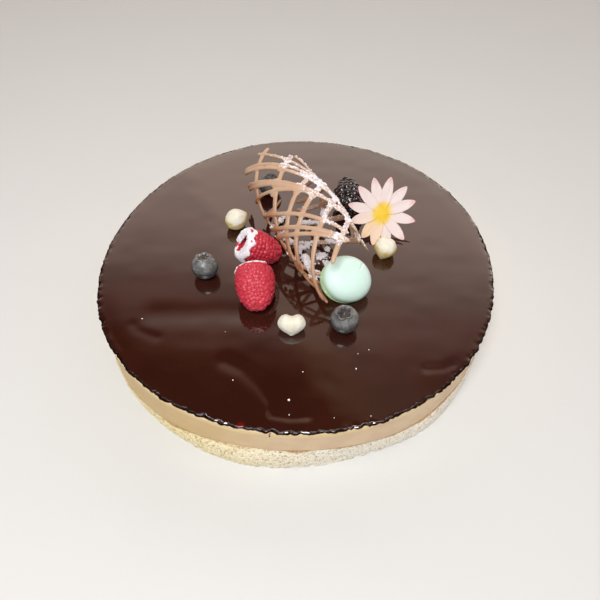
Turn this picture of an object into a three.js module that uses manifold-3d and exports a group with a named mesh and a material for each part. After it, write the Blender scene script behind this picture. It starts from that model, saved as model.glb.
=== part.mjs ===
// A round layered mousse cake: almond sponge, a thick mousse layer and a poured chocolate glaze,
// dressed with berries, hazelnuts, a macaron, a sugar flower and a rolled lattice of milk chocolate.
// Millimetres, +Z up. The origin is the middle of the round foot of the sponge; the front is -Y.

import * as THREE from 'three';
import { mergeVertices } from 'three/addons/utils/BufferGeometryUtils.js';
import Module from 'manifold-3d';

const wasm = await Module();
wasm.setup();

// ---------------------------------------------------------------- driving dimensions
const CAKE_RADIUS = 110;              // a 22 cm cake ring
const SPONGE_TOP = 17.5;              // heights of the three layers above the foot
const MOUSSE_TOP = 34.5;
const GLAZE_TOP = 36.5;
const GLAZE_OVERHANG = 0.9;           // the glaze swells past the mousse in a soft bead
const CAKE_AROUND = 64;               // facets round the cake

// The ring sat a little out of round: lobes round the rim, share of the radius, turn in degrees.
const RIM_LOBES = [
  { lobes: 2, depth: 0.011, turn: 45 },
  { lobes: 3, depth: 0.007, turn: -41 },
  { lobes: 4, depth: 0.0055, turn: 34 },
];

// The sponge is hand cut: its side swells and draws in round the cake, and its top dips where the
// mousse ran down over it. Turn and spread in degrees, out and depth in millimetres.
const SPONGE_SWELLS = [
  { turn: -106, spread: 17, out: 2.3 },
  { turn: -73, spread: 10, out: -1 },
  { turn: -52, spread: 10, out: 1 },
  { turn: 75, spread: 30, out: -1 },
];
const SPONGE_DIPS = [
  { turn: -140, spread: 26, depth: 10 },
  { turn: -60, spread: 12, depth: 2.6 },
];

const REST_GAP = 0.3;                 // clear space between a topping and what it touches
const STAND = GLAZE_TOP + REST_GAP;   // height that the toppings stand at

const LATTICE = {
  tail: { x: -18.3, y: 57.7 },        // where the roll begins, at the back left
  heading: 205.2,                     // turn of the roll about Z, degrees
  length: 91.4,
  tailRadius: 14.6,
  mouthRadius: 16.1,
  belly: 3.3,                         // extra radius half way along
  stripWidth: 2.3,
  stripThickness: 1.5,
  lift: 0.6,                          // the second set of strips is piped over the first
  step: 11,                           // length of a facet along a strip
};

// Piped strips on the flat sheet before it is rolled. Each runs between two points, given as
// across (round the roll, + is the near left side, 0 the top) and along (from tail to mouth).
// A strip with flare has come loose and stands that far off the roll at its end.
const UNDER_STRIPS = [
  { from: [-1, 0], to: [56, 58] },
  { from: [-8, 13], to: [54, 82] },
  { from: [-38, 16], to: [46, 86] },
  { from: [-46, 21], to: [40, 90] },
  { from: [-50, 27], to: [30, 102] },
  { from: [-54, 37], to: [8, 98] },
  { from: [-56, 54], to: [-23, 83] },
];
const OVER_STRIPS = [
  { from: [-3, 3], to: [-52, 54] },
  { from: [7, 0], to: [-36, 64] },
  { from: [12, 6], to: [-34, 74] },
  { from: [21, -1], to: [-27, 73] },
  { from: [29, 5], to: [-19, 80] },
  { from: [-13, 76], to: [-33, 82], flare: 8 },
  { from: [34, 21], to: [2, 50] },
  { from: [54, 18], to: [-14, 85] },
  { from: [56, 26], to: [-6, 91] },
  { from: [56, 43], to: [-5, 88] },
  { from: [57, 52], to: [28, 86] },
  { from: [54, 62], to: [35, 101] },
];

// ---------------------------------------------------------------- colours and finishes
function finish(color, roughness) {
  return new THREE.MeshStandardMaterial({ color, roughness, metalness: 0 });
}

const FINISH = {
  sponge: finish(0xe6d8b4, 0.95),
  mousse: finish(0xd9bd98, 0.7),
  glaze: finish(0x3a1d14, 0.08),
  lattice: finish(0xd2a47c, 0.5),
  raspberry: finish(0xc23a4a, 0.45),
  blueberry: finish(0x3f4552, 0.5),
  bramble: finish(0x241a1c, 0.25),
  hazelnut: finish(0xf0e3ae, 0.6),
  macaron: finish(0xd3f0da, 0.55),
  flower: finish(0xf6e2dd, 0.7),
};

// ---------------------------------------------------------------- shaping helpers
const radians = THREE.MathUtils.degToRad;

// One closed skin: shared corners are merged and flattened triangles dropped.
function closedSkin(source) {
  const bare = source.clone();
  bare.deleteAttribute('normal');
  bare.deleteAttribute('uv');
  const merged = mergeVertices(bare, 1e-4);
  const corners = merged.index.array;
  const kept = [];
  for (let i = 0; i < corners.length; i += 3) {
    const [a, b, c] = [corners[i], corners[i + 1], corners[i + 2]];
    if (a !== b && b !== c && c !== a) kept.push(a, b, c);
  }
  merged.setIndex(kept);
  merged.computeVertexNormals();
  return merged;
}

// Moves every vertex by a rule that changes the point it is given.
function reshape(geometry, rule) {
  const positions = geometry.attributes.position;
  const point = new THREE.Vector3();
  for (let i = 0; i < positions.count; i += 1) {
    point.fromBufferAttribute(positions, i);
    rule(point);
    positions.setXYZ(i, point.x, point.y, point.z);
  }
  return geometry;
}

// A turned body about +Z from [radius, height] pairs that run from its foot to its top.
function turned(profile, around) {
  const points = profile.map(([radius, height]) => new THREE.Vector2(Math.max(radius, 0), height));
  return new THREE.LatheGeometry(points, around).rotateX(Math.PI / 2);
}

function toSolid(geometry) {
  const skin = closedSkin(geometry);
  return new wasm.Manifold(new wasm.Mesh({
    numProp: 3,
    vertProperties: new Float32Array(skin.attributes.position.array),
    triVerts: new Uint32Array(skin.index.array),
  }));
}

function fromSolid(solid) {
  const mesh = solid.getMesh();
  const geometry = new THREE.BufferGeometry();
  geometry.setAttribute('position', new THREE.BufferAttribute(mesh.vertProperties, mesh.numProp));
  geometry.setIndex(new THREE.BufferAttribute(mesh.triVerts, 1));
  geometry.computeVertexNormals();
  return geometry;
}

function joined(geometries) {
  return fromSolid(geometries.map(toSolid).reduce((whole, next) => whole.add(next)));
}

function part(name, geometry, material) {
  const mesh = new THREE.Mesh(geometry, material);
  mesh.name = name;
  return mesh;
}

// Turns a topping so that its own +Z points along axis, and stands its lowest point on the glaze.
function onGlaze(mesh, x, y, axis = [0, 0, 1], spin = 0) {
  const up = new THREE.Vector3(0, 0, 1);
  const turn = new THREE.Quaternion().setFromUnitVectors(up, new THREE.Vector3(...axis).normalize());
  mesh.quaternion.copy(turn.multiply(new THREE.Quaternion().setFromAxisAngle(up, radians(spin))));
  mesh.position.set(x, y, 0);
  mesh.updateMatrixWorld(true);
  mesh.position.z = STAND - new THREE.Box3().setFromObject(mesh, true).min.z;
  return mesh;
}

// ---------------------------------------------------------------- the cake's three layers
function rimRadius(angle) {
  const swell = RIM_LOBES.reduce(
    (sum, { lobes, depth, turn }) => sum + depth * Math.cos(lobes * (angle - radians(turn))), 0);
  return CAKE_RADIUS * (1 + swell);
}

// A smooth rise from 0 to 1 and back, centred on one side of the cake.
function swellAt(angle, { turn, spread }) {
  const away = Math.atan2(Math.sin(angle - radians(turn)), Math.cos(angle - radians(turn)));
  return Math.exp(-((away / radians(spread)) ** 2));
}

// A layer from [distance inside the rim, height] pairs up its side. The rule says how far each point
// of the side is pushed outwards and down, in millimetres, by its angle and height.
function cakeLayer(side, rule = () => ({ out: 0, down: 0 })) {
  const profile = side.map(([inset, height]) => [CAKE_RADIUS - inset, height]);
  const foot = [0, profile[0][1]];
  const top = [0, profile[profile.length - 1][1]];
  const layer = turned([foot, ...profile, top], CAKE_AROUND);
  return closedSkin(reshape(layer, (point) => {
    const radius = Math.hypot(point.x, point.y);
    if (radius < CAKE_RADIUS / 2) return;
    const angle = Math.atan2(point.y, point.x);
    const { out, down } = rule(angle, point.z);
    const wanted = rimRadius(angle) - (CAKE_RADIUS - radius) + out;
    point.x *= wanted / radius;
    point.y *= wanted / radius;
    point.z -= down;
  }));
}

function spongeDip(angle) {
  return SPONGE_DIPS.reduce((sum, place) => sum + place.depth * swellAt(angle, place), 0);
}

function spongeRule(angle, height) {
  const share = height / SPONGE_TOP;
  const crumbs = Math.sin(Math.PI * share)
    * (0.4 * Math.sin(9 * angle + 1) + 0.3 * Math.sin(23 * angle + height));
  const swell = SPONGE_SWELLS.reduce((sum, place) => sum + place.out * swellAt(angle, place), 0);
  return { out: crumbs + swell * (1 - share ** 3), down: share * spongeDip(angle) };
}

function mousseRule(angle, height) {
  const share = (MOUSSE_TOP - height) / (MOUSSE_TOP - SPONGE_TOP - REST_GAP);
  return { out: 0, down: share * spongeDip(angle) };
}

function makeSponge() {
  const side = [[0.6, 0], [0.3, 4], [0.1, 9], [0.4, 14], [0.9, SPONGE_TOP]];
  return part('sponge', cakeLayer(side, spongeRule), FINISH.sponge);
}

function makeMousse() {
  const side = [[0.9, SPONGE_TOP + REST_GAP], [0.9, 26], [0.9, MOUSSE_TOP]];
  return part('mousse', cakeLayer(side, mousseRule), FINISH.mousse);
}

function makeGlaze() {
  const thickness = GLAZE_TOP - MOUSSE_TOP;
  const side = [[0.9, MOUSSE_TOP]];
  for (const turn of [-45, 0, 40, 90]) {
    side.push([
      1 - GLAZE_OVERHANG * Math.cos(radians(turn)),
      MOUSSE_TOP + thickness * (1 + Math.sin(radians(turn))) / 2,
    ]);
  }
  return part('glaze', cakeLayer(side), FINISH.glaze);
}

// ---------------------------------------------------------------- berries
const BLUEBERRY_FLATNESS = 0.96;      // height over width
const CROWN_RADIUS = 0.4;             // share of the berry's radius
const CROWN_DEPTH = 0.16;

// A blueberry: a round body with the five-lobed crown ring and its hollow on top.
function blueberryShape(radius) {
  const profile = [[0, -1]];
  for (let polar = 155; polar >= 35; polar -= 20) {
    profile.push([Math.sin(radians(polar)), Math.cos(radians(polar))]);
  }
  profile.push([CROWN_RADIUS, 0.95], [CROWN_RADIUS * 0.8, 0.98]);
  profile.push([CROWN_RADIUS * 0.55, 0.95 - CROWN_DEPTH], [0, 0.95 - CROWN_DEPTH]);
  const body = turned(profile, 14);
  reshape(body, (point) => {
    const isCrown = point.z > 0.9;
    const lobe = isCrown ? 0.15 * Math.cos(5 * Math.atan2(point.y, point.x)) : 0;
    point.x *= radius * (1 + lobe);
    point.y *= radius * (1 + lobe);
    point.z *= radius * BLUEBERRY_FLATNESS;
  });
  return closedSkin(body);
}

// Bumps of an aggregate berry: staggered rows of drupelets on a turned body.
function drupelets(point, { perRow, rowHeight, relief, foot }) {
  const row = (point.z - foot) / rowHeight;
  const rowIndex = Math.floor(row + 1e-6);
  const around = Math.atan2(point.y, point.x) / (2 * Math.PI) * perRow + (rowIndex % 2) / 2;
  const across = 2 * (around - Math.floor(around)) - 1;
  const upward = 2 * (row - rowIndex) - 1;
  const swell = relief * Math.sqrt(Math.max(0, 1 - across * across * 0.9 - upward * upward));
  const radius = Math.hypot(point.x, point.y);
  if (radius < 1e-3) return;
  point.x *= 1 + swell / radius;
  point.y *= 1 + swell / radius;
}

const RASPBERRY = { length: 23, radius: 9.6, wall: 3.2, hollow: 13, perRow: 9, rows: 5, relief: 0.9 };

// A raspberry: a blunt cone with its tip at the foot and the picked-out hollow open at the top.
function raspberryShape(scale) {
  const { length, radius, wall, hollow, perRow, rows, relief } = RASPBERRY;
  const steps = rows * 2;
  const profile = [[0, 0]];
  for (let i = 1; i <= steps; i += 1) {
    const share = i / steps;
    const bulge = Math.sqrt(1 - (1 - Math.min(share * 1.25, 1)) ** 2);
    profile.push([radius * (0.15 + 0.85 * bulge) * (1 - 0.1 * share ** 4), length * share]);
  }
  profile.push([radius - wall, length - 0.8], [radius - wall - 1, length - hollow / 2]);
  profile.push([(radius - wall) * 0.4, length - hollow], [0, length - hollow - 0.6]);
  const rim = length - 0.5;
  const rowHeight = length / rows;
  const body = turned(profile, perRow * 3);
  reshape(body, (point) => {
    const share = Math.min(point.z / length, 1);
    const isOutside = Math.hypot(point.x, point.y) > radius * 0.7 * share && point.z < rim;
    if (isOutside && point.z > 0.1) drupelets(point, { perRow, rowHeight, relief, foot: 0 });
    point.multiplyScalar(scale);
  });
  return closedSkin(body);
}

const BRAMBLE = { length: 25, radius: 8.4, perRow: 7, rows: 6, relief: 0.9 };

// A dark bramble berry: a closed egg of drupelets, turned about its length.
function brambleShape() {
  const { length, radius, perRow, rows, relief } = BRAMBLE;
  const steps = rows * 2;
  const profile = [];
  for (let i = 0; i <= steps; i += 1) {
    const share = i / steps;
    const round = Math.sqrt(1 - (2 * share - 1) ** 2);
    profile.push([radius * round * (1.06 - 0.12 * share), length * share]);
  }
  const body = turned(profile, perRow * 3);
  const rowHeight = length / rows;
  reshape(body, (point) => drupelets(point, { perRow, rowHeight, relief, foot: 0 }));
  return closedSkin(body);
}

// ---------------------------------------------------------------- hazelnuts
// A blanched kernel: a ball drawn out to a blunt point, with an optional cleft opposite the point.
function hazelnutShape({ width, depth, height, cleft }) {
  const ball = new THREE.SphereGeometry(1, 14, 9).rotateX(Math.PI / 2);
  reshape(ball, (point) => {
    const taper = point.z < 0 ? 1 - 0.28 * point.z * point.z : 1;
    const dent = cleft * Math.max(0, point.z) * Math.exp(-6 * point.x * point.x);
    point.x *= width / 2 * taper;
    point.y *= depth / 2 * taper;
    point.z = (point.z - dent) * height / 2;
  });
  return closedSkin(ball);
}

// ---------------------------------------------------------------- macaron
const MACARON = { radius: 12.9, oval: 0.04, shell: 5.2, frill: 1.4, filling: 2 };

// Two domed shells with their ruffled feet and the filling between, piped a little oval.
function macaronShape() {
  const { radius, oval, shell, frill, filling } = MACARON;
  const half = [[radius - 1.4, filling / 2], [radius - 0.3, filling / 2 + frill * 0.5]];
  for (const polar of [88, 66, 44, 22]) {
    half.push([
      radius * Math.sin(radians(polar)) ** 0.8,
      filling / 2 + frill + shell * Math.cos(radians(polar)),
    ]);
  }
  half.push([0, filling / 2 + frill + shell]);
  const mirrored = half.map(([r, h]) => [r, -h]).reverse();
  const body = turned([...mirrored, ...half], 24);
  return closedSkin(reshape(body, (point) => {
    point.x *= 1 + oval;
    point.y *= 1 - oval;
  }));
}

// ---------------------------------------------------------------- sugar flower
const FLOWER = { discRadius: 6, discHeight: 2.2, petalWidth: 6.4, petalThickness: 1.2, cup: 2.5 };

// Petals by the direction they point in, in degrees, and their length from the middle.
const PETALS = [
  [103, 21.0], [76, 21.4], [46, 21.0], [19, 20.4], [-13, 19.6], [-52, 20.0],
  [-79, 19.0], [-107, 19.6], [-130, 18.6], [-165, 19.2], [167, 20.2], [133, 20.6],
];

function petalShape(length) {
  const { petalWidth, petalThickness } = FLOWER;
  const outline = new THREE.Shape();
  outline.moveTo(2, -1);
  outline.bezierCurveTo(length * 0.35, -petalWidth * 0.62, length * 0.8, -petalWidth * 0.6, length, 0);
  outline.bezierCurveTo(length * 0.8, petalWidth * 0.6, length * 0.35, petalWidth * 0.62, 2, 1);
  const options = { depth: petalThickness, bevelEnabled: false, curveSegments: 3, steps: 1 };
  return new THREE.ExtrudeGeometry(outline, options);
}

function flowerShape() {
  const { discRadius, discHeight, cup } = FLOWER;
  const disc = new THREE.SphereGeometry(1, 16, 8).rotateX(Math.PI / 2);
  disc.scale(discRadius, discRadius, discHeight);
  const petals = PETALS.map(([direction, length], i) => {
    const petal = petalShape(length);
    reshape(petal, (point) => {
      point.z += cup * (point.x / length) ** 2 + (i % 2 === 0 ? 0.35 : 0);
    });
    return petal.rotateZ(radians(direction));
  });
  return joined([disc, ...petals]);
}

// ---------------------------------------------------------------- rolled chocolate lattice
// The sheet's point (across, along, outwards) on the roll. The roll has a belly, tapers towards its
// tail and lies on its side, so that its lowest line is level.
function rollPoint(point) {
  const { tailRadius, mouthRadius, belly, length } = LATTICE;
  const share = point.y / length;
  const sheetRadius = tailRadius + (mouthRadius - tailRadius) * share + 4 * belly * share * (1 - share);
  const angle = point.x / sheetRadius;
  const radius = sheetRadius + point.z;
  point.set(radius * Math.sin(angle), point.y, sheetRadius + radius * Math.cos(angle));
}

function rolledStrip({ from, to, flare = 0 }, lift) {
  const { stripWidth, stripThickness, step } = LATTICE;
  const run = Math.hypot(to[0] - from[0], to[1] - from[1]);
  const steps = Math.ceil(run / step);
  const strip = new THREE.BoxGeometry(stripWidth, run, stripThickness, 1, steps, 1);
  reshape(strip, (point) => {
    point.z += lift - stripThickness / 2 + flare * Math.max(0, 2 * point.y / run) ** 2;
  });
  strip.rotateZ(Math.atan2(to[1] - from[1], to[0] - from[0]) - Math.PI / 2);
  strip.translate((from[0] + to[0]) / 2, (from[1] + to[1]) / 2, 0);
  return reshape(strip, rollPoint);
}

function makeLattice() {
  const { tail, heading, lift } = LATTICE;
  const strips = [
    ...UNDER_STRIPS.map((strip) => rolledStrip(strip, 0)),
    ...OVER_STRIPS.map((strip) => rolledStrip(strip, lift)),
  ];
  const roll = new THREE.Group();
  roll.add(part('chocolate_lattice', joined(strips), FINISH.lattice));
  roll.position.set(tail.x, tail.y, STAND + lift);
  roll.rotation.z = radians(heading);
  return roll;
}

// ---------------------------------------------------------------- assembly
function makeCake() {
  const cake = new THREE.Group();
  cake.add(makeSponge(), makeMousse(), makeGlaze());
  return cake;
}

function makeFruit() {
  const fruit = new THREE.Group();
  const blueberry = (name, radius, x, y, axis) => onGlaze(
    part(name, blueberryShape(radius), FINISH.blueberry), x, y, axis);
  const raspberry = (name, scale, x, y, axis) => onGlaze(
    part(name, raspberryShape(scale), FINISH.raspberry), x, y, axis);
  fruit.add(
    blueberry('blueberry_left', 6.7, -50.4, -14.5, [-0.05, 0.25, 1]),
    blueberry('blueberry_front', 7, 23.2, -50.2, [-0.1, -0.05, 1]),
    blueberry('blueberry_under_lattice', 7, -17.6, 54, [0.3, 0.2, 1]),
    raspberry('raspberry_back', 0.96, -10.2, -2.6, [-0.87, -0.13, 0.47]),
    raspberry('raspberry_front', 1.03, -20.2, -44.8, [-0.12, 0.98, 0.15]),
    onGlaze(part('bramble_berry', brambleShape(), FINISH.bramble), 30.5, 28, [0, 1, 0.02]),
  );
  return fruit;
}

function makeNuts() {
  const nuts = new THREE.Group();
  const hazelnut = (name, size, x, y, axis) => onGlaze(
    part(name, hazelnutShape(size), FINISH.hazelnut), x, y, axis);
  nuts.add(
    hazelnut('hazelnut_back', { width: 12.4, depth: 12.2, height: 13.4, cleft: 0 }, -36, 23.4, [-0.8, -0.5, -0.2]),
    hazelnut('hazelnut_front', { width: 14, depth: 10.4, height: 11.4, cleft: 0.3 }, -3.2, -51.4, [0, 0.8, 0.6]),
    hazelnut('hazelnut_right', { width: 12.4, depth: 12.2, height: 12.8, cleft: 0.12 }, 48.8, 0.8, [0.3, 0.5, 0.8]),
  );
  return nuts;
}

function makeSweets() {
  const sweets = new THREE.Group();
  sweets.add(
    onGlaze(part('macaron', macaronShape(), FINISH.macaron), 24.9, -26.4, [0.28, -0.45, 0.85]),
    onGlaze(part('sugar_flower', flowerShape(), FINISH.flower), 48.4, 24.5, [0, -0.629, 0.777]),
  );
  return sweets;
}

const mousseCake = new THREE.Group();
mousseCake.add(makeCake(), makeFruit(), makeNuts(), makeSweets(), makeLattice());

// The out-of-round rim is centred, so that the origin is the middle of the whole cake.
mousseCake.updateMatrixWorld(true);
const middle = new THREE.Box3().setFromObject(mousseCake, true).getCenter(new THREE.Vector3());
mousseCake.position.set(-middle.x, -middle.y, 0);

export default mousseCake;
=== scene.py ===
import math

import bmesh
import bpy
import numpy as np
from bpy.props import FloatProperty, FloatVectorProperty, IntProperty, PointerProperty
from bpy.types import Operator, Panel, PropertyGroup
from mathutils import Matrix, Vector
from mathutils.kdtree import KDTree


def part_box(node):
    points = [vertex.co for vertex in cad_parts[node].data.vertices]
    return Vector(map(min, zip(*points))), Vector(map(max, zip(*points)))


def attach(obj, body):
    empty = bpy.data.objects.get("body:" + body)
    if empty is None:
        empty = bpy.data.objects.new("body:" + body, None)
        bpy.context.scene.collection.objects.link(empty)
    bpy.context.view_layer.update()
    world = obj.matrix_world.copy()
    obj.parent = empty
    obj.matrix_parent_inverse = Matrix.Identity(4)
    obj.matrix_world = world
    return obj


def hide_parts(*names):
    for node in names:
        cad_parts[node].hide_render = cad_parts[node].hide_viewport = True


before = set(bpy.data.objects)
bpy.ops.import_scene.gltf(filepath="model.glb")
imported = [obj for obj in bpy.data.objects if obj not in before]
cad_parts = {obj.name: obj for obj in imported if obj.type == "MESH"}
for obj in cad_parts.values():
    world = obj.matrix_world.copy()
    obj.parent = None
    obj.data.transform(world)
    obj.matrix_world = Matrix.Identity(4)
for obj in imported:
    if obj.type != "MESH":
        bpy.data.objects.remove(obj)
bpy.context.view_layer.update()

bl_info = {
    "name": "Mousse Cake",
    "version": (1, 0, 0),
    "blender": (4, 5, 0),
    "location": "3D View > Sidebar > Cake",
    "description": "Makes a layered mousse cake with its glaze, berries, nuts and sugar work",
    "category": "Add Mesh",
}

MM = 0.001                      # shapes are worked out in millimetres and stored in metres
BODY = "root"


def node_box(node):
    """Lowest and highest corner of a CAD node, in millimetres."""
    low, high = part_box(node)
    return np.array(low) / MM, np.array(high) / MM


# ---------------------------------------------------------------- the cake's round
CAKE_RADIUS = 110.0
GLAZE_TOP = node_box("glaze")[1][2]
MOUSSE_TOP = node_box("mousse")[1][2]
SPONGE_TOP = node_box("sponge")[1][2]
REST_GAP = node_box("hazelnut_back")[0][2] - GLAZE_TOP      # the CAD's clear space under a topping
SETTLE = 0.35                   # how far a topping sinks into the soft glaze

# Lobes round the rim: how many, share of the radius, turn in degrees.
RIM_LOBES = ((2, 0.011, 45), (3, 0.007, -41), (4, 0.0055, 34))
# Where the hand-cut sponge swells or draws in: turn, spread, millimetres out.
SPONGE_SWELLS = ((-106, 17, 2.3), (-73, 10, -1.0), (-52, 10, 1.0), (75, 30, -1.0))
# Where the mousse ran down over it: turn, spread, millimetres down.
SPONGE_DIPS = ((-140, 26, 10.0), (-60, 12, 2.6))


def swell_at(angle, turn, spread):
    """A smooth rise from 0 to 1 and back, centred on one side of the cake."""
    away = np.arctan2(np.sin(angle - math.radians(turn)), np.cos(angle - math.radians(turn)))
    return np.exp(-(away / math.radians(spread)) ** 2)


def rim_radius(angle):
    """The cake's radius by angle, a little out of round."""
    lobes = sum(depth * np.cos(count * (angle - math.radians(turn))) for count, depth, turn in RIM_LOBES)
    return CAKE_RADIUS * (1 + lobes)


def sponge_dip(angle):
    """How far the sponge's top edge lies below its full height."""
    return sum(depth * swell_at(angle, turn, spread) for turn, spread, depth in SPONGE_DIPS)


def full_turn(count):
    """Evenly spaced angles round a full turn."""
    return np.linspace(0, 2 * math.pi, count, endpoint=False)


def round_points(radius, angle, height):
    """Points at a radius, an angle and a height about Z."""
    radius, angle, height = np.broadcast_arrays(radius, angle, height)
    return np.stack([radius * np.cos(angle), radius * np.sin(angle), height], -1)


def centre_of_round():
    """The middle of the round in the frame: the glaze's box against the round's own box."""
    angle = full_turn(64)
    places = round_points(rim_radius(angle), angle, 0)
    low, high = node_box("glaze")
    return ((low + high) / 2 - (places.min(0) + places.max(0)) / 2) * [1, 1, 0]


CENTRE = centre_of_round()


# ---------------------------------------------------------------- noise
HASH_PRIMES = (73856093, 19349663, 83492791)    # one for each axis of the noise's lattice
HASH_MIXER = 1274126177
SEED_STEP = 19.37               # how far apart the noise of two seeds is taken
LAYER_SUM = 1.75                # strength of three layers together: 1 + 1/2 + 1/4


def soft_noise(points, size, seed):
    """Smooth noise from -1 to 1, with features of the given size in millimetres."""
    place = np.asarray(points, float) / size + seed * SEED_STEP
    base = np.floor(place).astype(np.int64)
    share = place - base
    share = share * share * (3 - 2 * share)
    total = np.zeros(len(place))
    for corner in np.ndindex(2, 2, 2):
        mixed = np.bitwise_xor.reduce((base + np.array(corner)) * HASH_PRIMES, axis=1)
        mixed = (mixed ^ (mixed >> 13)) * HASH_MIXER
        # The last sixteen bits of the hash, as a value from -1 to 1.
        value = ((mixed ^ (mixed >> 16)) & 0xFFFF) / (0xFFFF / 2) - 1
        weight = np.prod(np.where(corner, share, 1 - share), axis=1)
        total += weight * value
    return total


def layered_noise(points, size, layers, seed):
    """Noise with finer and fainter noise on top."""
    return sum(soft_noise(points, size / 2 ** n, seed + n) / 2 ** n for n in range(layers)) / LAYER_SUM


def smooth_step(low, high, value):
    """0 at low, 1 at high, with no corner at either."""
    share = np.clip((value - low) / (high - low), 0, 1)
    return share * share * (3 - 2 * share)


# ---------------------------------------------------------------- mesh building
def ring_faces(rows, around, start=0):
    """Quads between the closed rings of a grid."""
    row, column = np.meshgrid(np.arange(rows - 1), np.arange(around), indexing="ij")
    after = (column + 1) % around
    corners = (row * around + column, row * around + after,
               (row + 1) * around + after, (row + 1) * around + column)
    return (np.stack(corners, -1).reshape(-1, 4) + start).tolist()


def closed_round(grid):
    """A closed skin from rings that run foot to top, each end drawn to one point."""
    rows, around = grid.shape[:2]
    points = np.concatenate([grid.reshape(-1, 3), grid[:1].mean(1), grid[-1:].mean(1)])
    foot, top = rows * around, rows * around + 1
    faces = ring_faces(rows, around)
    last = (rows - 1) * around
    for i in range(around):
        after = (i + 1) % around
        faces.append([foot, after, i])
        faces.append([top, last + i, last + after])
    return points, faces


def turned_grid(radii, heights, around):
    """Rings of points about Z from a profile that runs from the foot to the top."""
    return round_points(np.asarray(radii)[:, None], full_turn(around), np.asarray(heights)[:, None])


def join_skins(skins):
    """Points and faces of several skins as one."""
    points, faces, count = [], [], 0
    for skin, skin_faces in skins:
        points.append(skin)
        faces += [[i + count for i in face] for face in skin_faces]
        count += len(skin)
    return np.concatenate(points), faces


def make_piece(name, points, faces, material, replaces=None):
    """A mesh object from points in millimetres, riding on the cake."""
    mesh = bpy.data.meshes.new(name)
    mesh.from_pydata((np.asarray(points) * MM).tolist(), [], faces)
    mesh.polygons.foreach_set("use_smooth", [True] * len(mesh.polygons))
    mesh.materials.append(material)
    piece = bpy.data.objects.new(name, mesh)
    bpy.context.scene.collection.objects.link(piece)
    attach(piece, BODY)
    if replaces:
        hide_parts(replaces)
    return piece


def mesh_normals(mesh):
    """The outward normals at the points of a mesh."""
    normals = np.empty(len(mesh.vertices) * 3)
    mesh.vertices.foreach_get("normal", normals)
    return normals.reshape(-1, 3)


def mesh_points(mesh):
    """The points of a mesh, in millimetres."""
    places = np.empty(len(mesh.vertices) * 3)
    mesh.vertices.foreach_get("co", places)
    return places.reshape(-1, 3) / MM


def paint_points(piece, layer, values):
    """Stores one value for each point of a piece, for its material to read."""
    attribute = piece.data.attributes.new(layer, "FLOAT", "POINT")
    attribute.data.foreach_set("value", np.asarray(values, np.float32))


def fuse(piece, voxel, smoothing):
    """Fuses overlapping lumps or strips into one skin, with voxels of a size in millimetres."""
    remesh = piece.modifiers.new("fuse", "REMESH")
    remesh.mode = "VOXEL"
    remesh.voxel_size = voxel * MM
    remesh.use_smooth_shade = True
    smooth = piece.modifiers.new("soften", "SMOOTH")
    smooth.iterations = smoothing
    smooth.factor = 0.5
    graph = bpy.context.evaluated_depsgraph_get()
    fused = bpy.data.meshes.new_from_object(piece.evaluated_get(graph))
    piece.modifiers.clear()
    old = piece.data
    piece.data = fused
    bpy.data.meshes.remove(old)
    fused.polygons.foreach_set("use_smooth", [True] * len(fused.polygons))


def turn_to(axis):
    """The rotation that takes +Z to an axis by the shortest way, as a matrix for row points."""
    return np.array(Vector((0, 0, 1)).rotation_difference(Vector(axis)).to_matrix()).T


def spin_about_z(degrees):
    """The rotation about Z, as a matrix for row points."""
    turn = math.radians(degrees)
    return np.array([[math.cos(turn), math.sin(turn), 0], [-math.sin(turn), math.cos(turn), 0], [0, 0, 1]])


def seat(points, node, axis):
    """Turns points so that their +Z points along axis, and stands them where the CAD node stands.
    Returns them and how far they were shifted."""
    turned = points @ turn_to(axis)
    low, high = node_box(node)
    shift = (low + high) / 2 - (turned.min(0) + turned.max(0)) / 2
    shift[2] = low[2] - REST_GAP - SETTLE - turned[:, 2].min()
    return turned + shift, shift


def ball_template(steps):
    """A small faceted ball: its points and triangles."""
    shape = bmesh.new()
    bmesh.ops.create_icosphere(shape, subdivisions=steps, radius=1.0)
    points = np.array([tuple(v.co) for v in shape.verts])
    faces = np.array([[v.index for v in f.verts] for f in shape.faces])
    shape.free()
    return points, faces


def many_balls(centres, radii, steps, squash=1.0):
    """Points and faces of a ball at each centre. More steps make rounder balls."""
    points, faces = ball_template(steps)
    points = points * np.array([1, 1, squash])
    placed = centres[:, None, :] + points[None] * radii[:, None, None]
    numbered = faces[None] + (np.arange(len(centres)) * len(points))[:, None, None]
    return placed.reshape(-1, 3), numbered.reshape(-1, 3).tolist()


# ---------------------------------------------------------------- materials
def colour(code):
    """Linear colour from a hex code as seen on screen, by the sRGB curve."""
    parts = [int(code[i:i + 2], 16) / 255 for i in (0, 2, 4)]
    return tuple(c / 12.92 if c <= 0.04045 else ((c + 0.055) / 1.055) ** 2.4 for c in parts) + (1.0,)


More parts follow.
